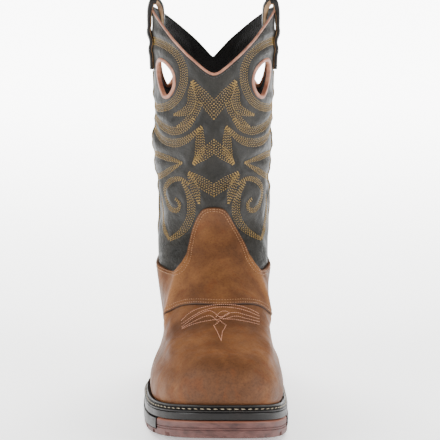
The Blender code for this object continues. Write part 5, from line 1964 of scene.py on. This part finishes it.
def band_lines(band, front):
    """All rows of a band on both halves of a panel."""
    line = smooth_line(band.points, LINE_STEPS)
    run = np.linspace(0.0, 1.0, LINE_STEPS)
    spreading = np.minimum(band.start + (1.0 - band.start) * run * TIP_SHARE, 1.0)
    spreading = np.minimum(spreading, band.end + (1.0 - band.end) * (1.0 - run) * TIP_SHARE)
    lines = []
    for k in range(band.rows):
        aside = (k - (band.rows - 1) / 2.0) * band.gap * MM * spreading
        row = row_of(line, aside)
        row = row[row[:, 0] >= 0.0]
        for side in SIDES:
            laid = on_panel(front, side, row[:, 0] / PANEL_HALF, row[:, 1], THREAD_SINK)
            lines.append((*laid, HERRINGBONE * side * (-1.0) ** k))
    return lines


for front, name in ((True, "front"), (False, "back")):
    lines = [line for band in BANDS for line in band_lines(band, front)]
    sewn(f"shaft_stitches_{name}", lines, SHAFT_STITCH)

# %% [markdown]
# ## Saddle seams
# Two rows of tan thread hold the saddle's top edge, and two run behind its front edge.

# %% Saddle seams
SEAM_STEPS = 160
FRONT_STEPS = 120
FRONT_REACH = 0.21
THREAD_RISE = 0.00008
ON_LEATHER = LEATHER_LIFT + THREAD_RISE
SADDLE_ON = ON_LEATHER + SADDLE_OVERLAY
VAMP_ON = ON_LEATHER + OVERLAY

saddle_top_line = spread([(share * PANEL_HALF, up * SHAFT_HEIGHT) for share, up in SADDLE_TOP], SEAM_STEPS)
saddle_lines = []
for below in (0.0017, 0.0036):
    row = row_of(saddle_top_line, np.full(SEAM_STEPS, -below))
    row = row[row[:, 0] > 0.0]
    saddle_lines += [on_panel(True, side, row[:, 0] / PANEL_HALF, row[:, 1], SADDLE_ON) for side in SIDES]
for behind in (0.0016, 0.0052):
    u = np.linspace(FRONT_REACH, -FRONT_REACH, FRONT_STEPS) % 1.0
    edge_v = saddle_front(u)
    v = edge_v + np.array([row_step(a, b, 1.0) for a, b in zip(u, edge_v)]) * behind
    saddle_lines.append(on_skin(u, v, SADDLE_ON))
sewn("saddle_stitches", saddle_lines, SADDLE_STITCH)

# %% [markdown]
# ## Vamp stitching
# Pale lines run across the vamp ahead of the saddle. They rise to the middle, where the lower ones loop
# round each other above a small pointed medallion. Each is given as pairs of a turn round the boot, in
# thousandths, and v on the skin.

# %% Vamp stitching
TURN_UNIT = 0.001
VAMP_ROWS = (
    ((89, 5.97), (62, 6.48), (30, 6.84), (5, 7.00), (-22, 6.95), (-50, 6.72), (-88, 6.26)),
    ((87, 5.86), (54, 6.41), (30, 6.73), (6, 6.91), (-22, 6.85), (-50, 6.61), (-90, 6.14)),
    ((85, 5.74), (60, 6.24), (36, 6.60), (16, 6.76), (1, 6.57), (-20, 6.48), (-46, 6.27), (-88, 5.80)),
    ((84, 5.62), (58, 6.04), (40, 6.26), (14, 6.47), (2, 6.53), (-8, 6.68), (-21, 6.70), (-48, 6.48),
     (-90, 6.02)),
    ((84, 5.68), (60, 6.10), (44, 6.34), (29, 6.53), (16, 6.60), (5, 6.44)),
    ((-3, 6.52), (-22, 6.58), (-46, 6.38), (-90, 5.90)),
    ((8, 6.60), (2, 6.74), (-6, 6.78), (-13, 6.71), (-6, 6.62), (2, 6.60)),
)
MEDALLION = ((2, 6.46), (12, 6.25), (7, 5.96), (2, 5.45), (-1, 5.96), (-7, 6.28), (2, 6.46))
MEDALLION_STEPS = 12

vamp_lines = []
for row in VAMP_ROWS:
    turn, level = spread(row, SEAM_STEPS).T
    vamp_lines.append(on_skin(turn * TURN_UNIT % 1.0, level, VAMP_ON))
share = np.linspace(0.0, 1.0, MEDALLION_STEPS)
for (turn_a, level_a), (turn_b, level_b) in zip(MEDALLION, MEDALLION[1:]):
    turn = turn_a + (turn_b - turn_a) * share
    vamp_lines.append(on_skin(turn * TURN_UNIT % 1.0, level_a + (level_b - level_a) * share, VAMP_ON))
sewn("vamp_stitches", vamp_lines, VAMP_STITCH)

# %% [markdown]
# ## Counter seams
# Two rows of thread follow the counter's top edge, and two run down the saddle's rear edge beside it.

# %% Counter seams
COUNTER_SEAM_STEPS = 60
COUNTER_LOW = 0.046
COUNTER_CORNER = counter_height(1.0 + COUNTER_FROM_SEAM)
CORNER_CLEAR = 0.003

# The way round the boot at the counter that one unit of u stands for
ROUND_HEEL = 0.30

counter_lines = []
for below in (0.0016, 0.0036):
    shares = np.linspace(1.0, 2.0, COUNTER_SEAM_STEPS)
    z = np.array([counter_height(share) for share in shares]) - below
    off = VAMP_ON + (SADDLE_OVERLAY - OVERLAY) * (shares < 1.0 + COUNTER_FROM_SEAM)
    counter_lines += [on_panel(False, side, 2.0 - shares, z, off) for side in SIDES]
for ahead in (0.0016, 0.0036):
    z = np.linspace(COUNTER_LOW, COUNTER_CORNER - CORNER_CLEAR, COUNTER_SEAM_STEPS)
    edge_u = PLAIN.u_round(1.0 + COUNTER_FROM_SEAM, COUNTER_CORNER) - ahead / ROUND_HEEL
    for side in SIDES:
        u = np.full(COUNTER_SEAM_STEPS, side * edge_u) % 1.0
        counter_lines.append(on_skin(u, SKIN.v_at(u, z), SADDLE_ON))
sewn("counter_stitches", counter_lines, COUNTER_STITCH)

# %% [markdown]
# ## Welt and side seams
# A coarse pale thread joins the welt to the sole, ahead of the heel. Two rows of gold thread run up both
# sides of each side seam's piping.

# %% Welt and side seams
WELT_STITCH_TO = 0.74
WELT_STITCH_IN = 0.0013
WELT_STITCH_DROP = 0.45
SIDE_SEAM_STEPS = 100
SIDE_SEAM_FROM, SIDE_SEAM_BEYOND = 0.002, 0.020

line = sole_loop(WELT_STITCH_IN, above(sole_line, -WELT_FALL * WELT_STITCH_DROP))
line = np.roll(line, -(SOLE_COLUMNS // 2), axis=0)
line = line[station(line[:, 1]) < WELT_STITCH_TO]
sewn("welt_stitches", [(line, np.tile((0.0, 0.0, 1.0), (len(line), 1)))], WELT_STITCH)

seam_lines = []
for aside in (0.0022, 0.0044):
    z = np.linspace(piping_low + SIDE_SEAM_FROM, piping_high + SIDE_SEAM_BEYOND, SIDE_SEAM_STEPS)
    across = np.full(SIDE_SEAM_STEPS, 1.0 - aside / PANEL_HALF)
    seam_lines += [on_panel(front, side, across, z, THREAD_SINK) for front in (True, False) for side in SIDES]
sewn("seam_stitches", seam_lines, SEAM_STITCH)

# %% [markdown]
# ## Collar seam
# A dark row follows the collar's binding, a few millimetres under the rim.

# %% Collar seam
COLLAR_SEAM_STEPS = 400
COLLAR_SEAM_DROP = 0.0032

u = np.linspace(0.0, 1.0, COLLAR_SEAM_STEPS)
drop = np.array([row_step(a, float(PLAIN.v_at(a, collar_height(a))), COLLAR_SEAM_DROP) for a in u])
collar_line = on_skin(u, SKIN.v_at(u, collar_height(u)) - drop, THREAD_SINK)
sewn("collar_stitches", [collar_line], COLLAR_STITCH)
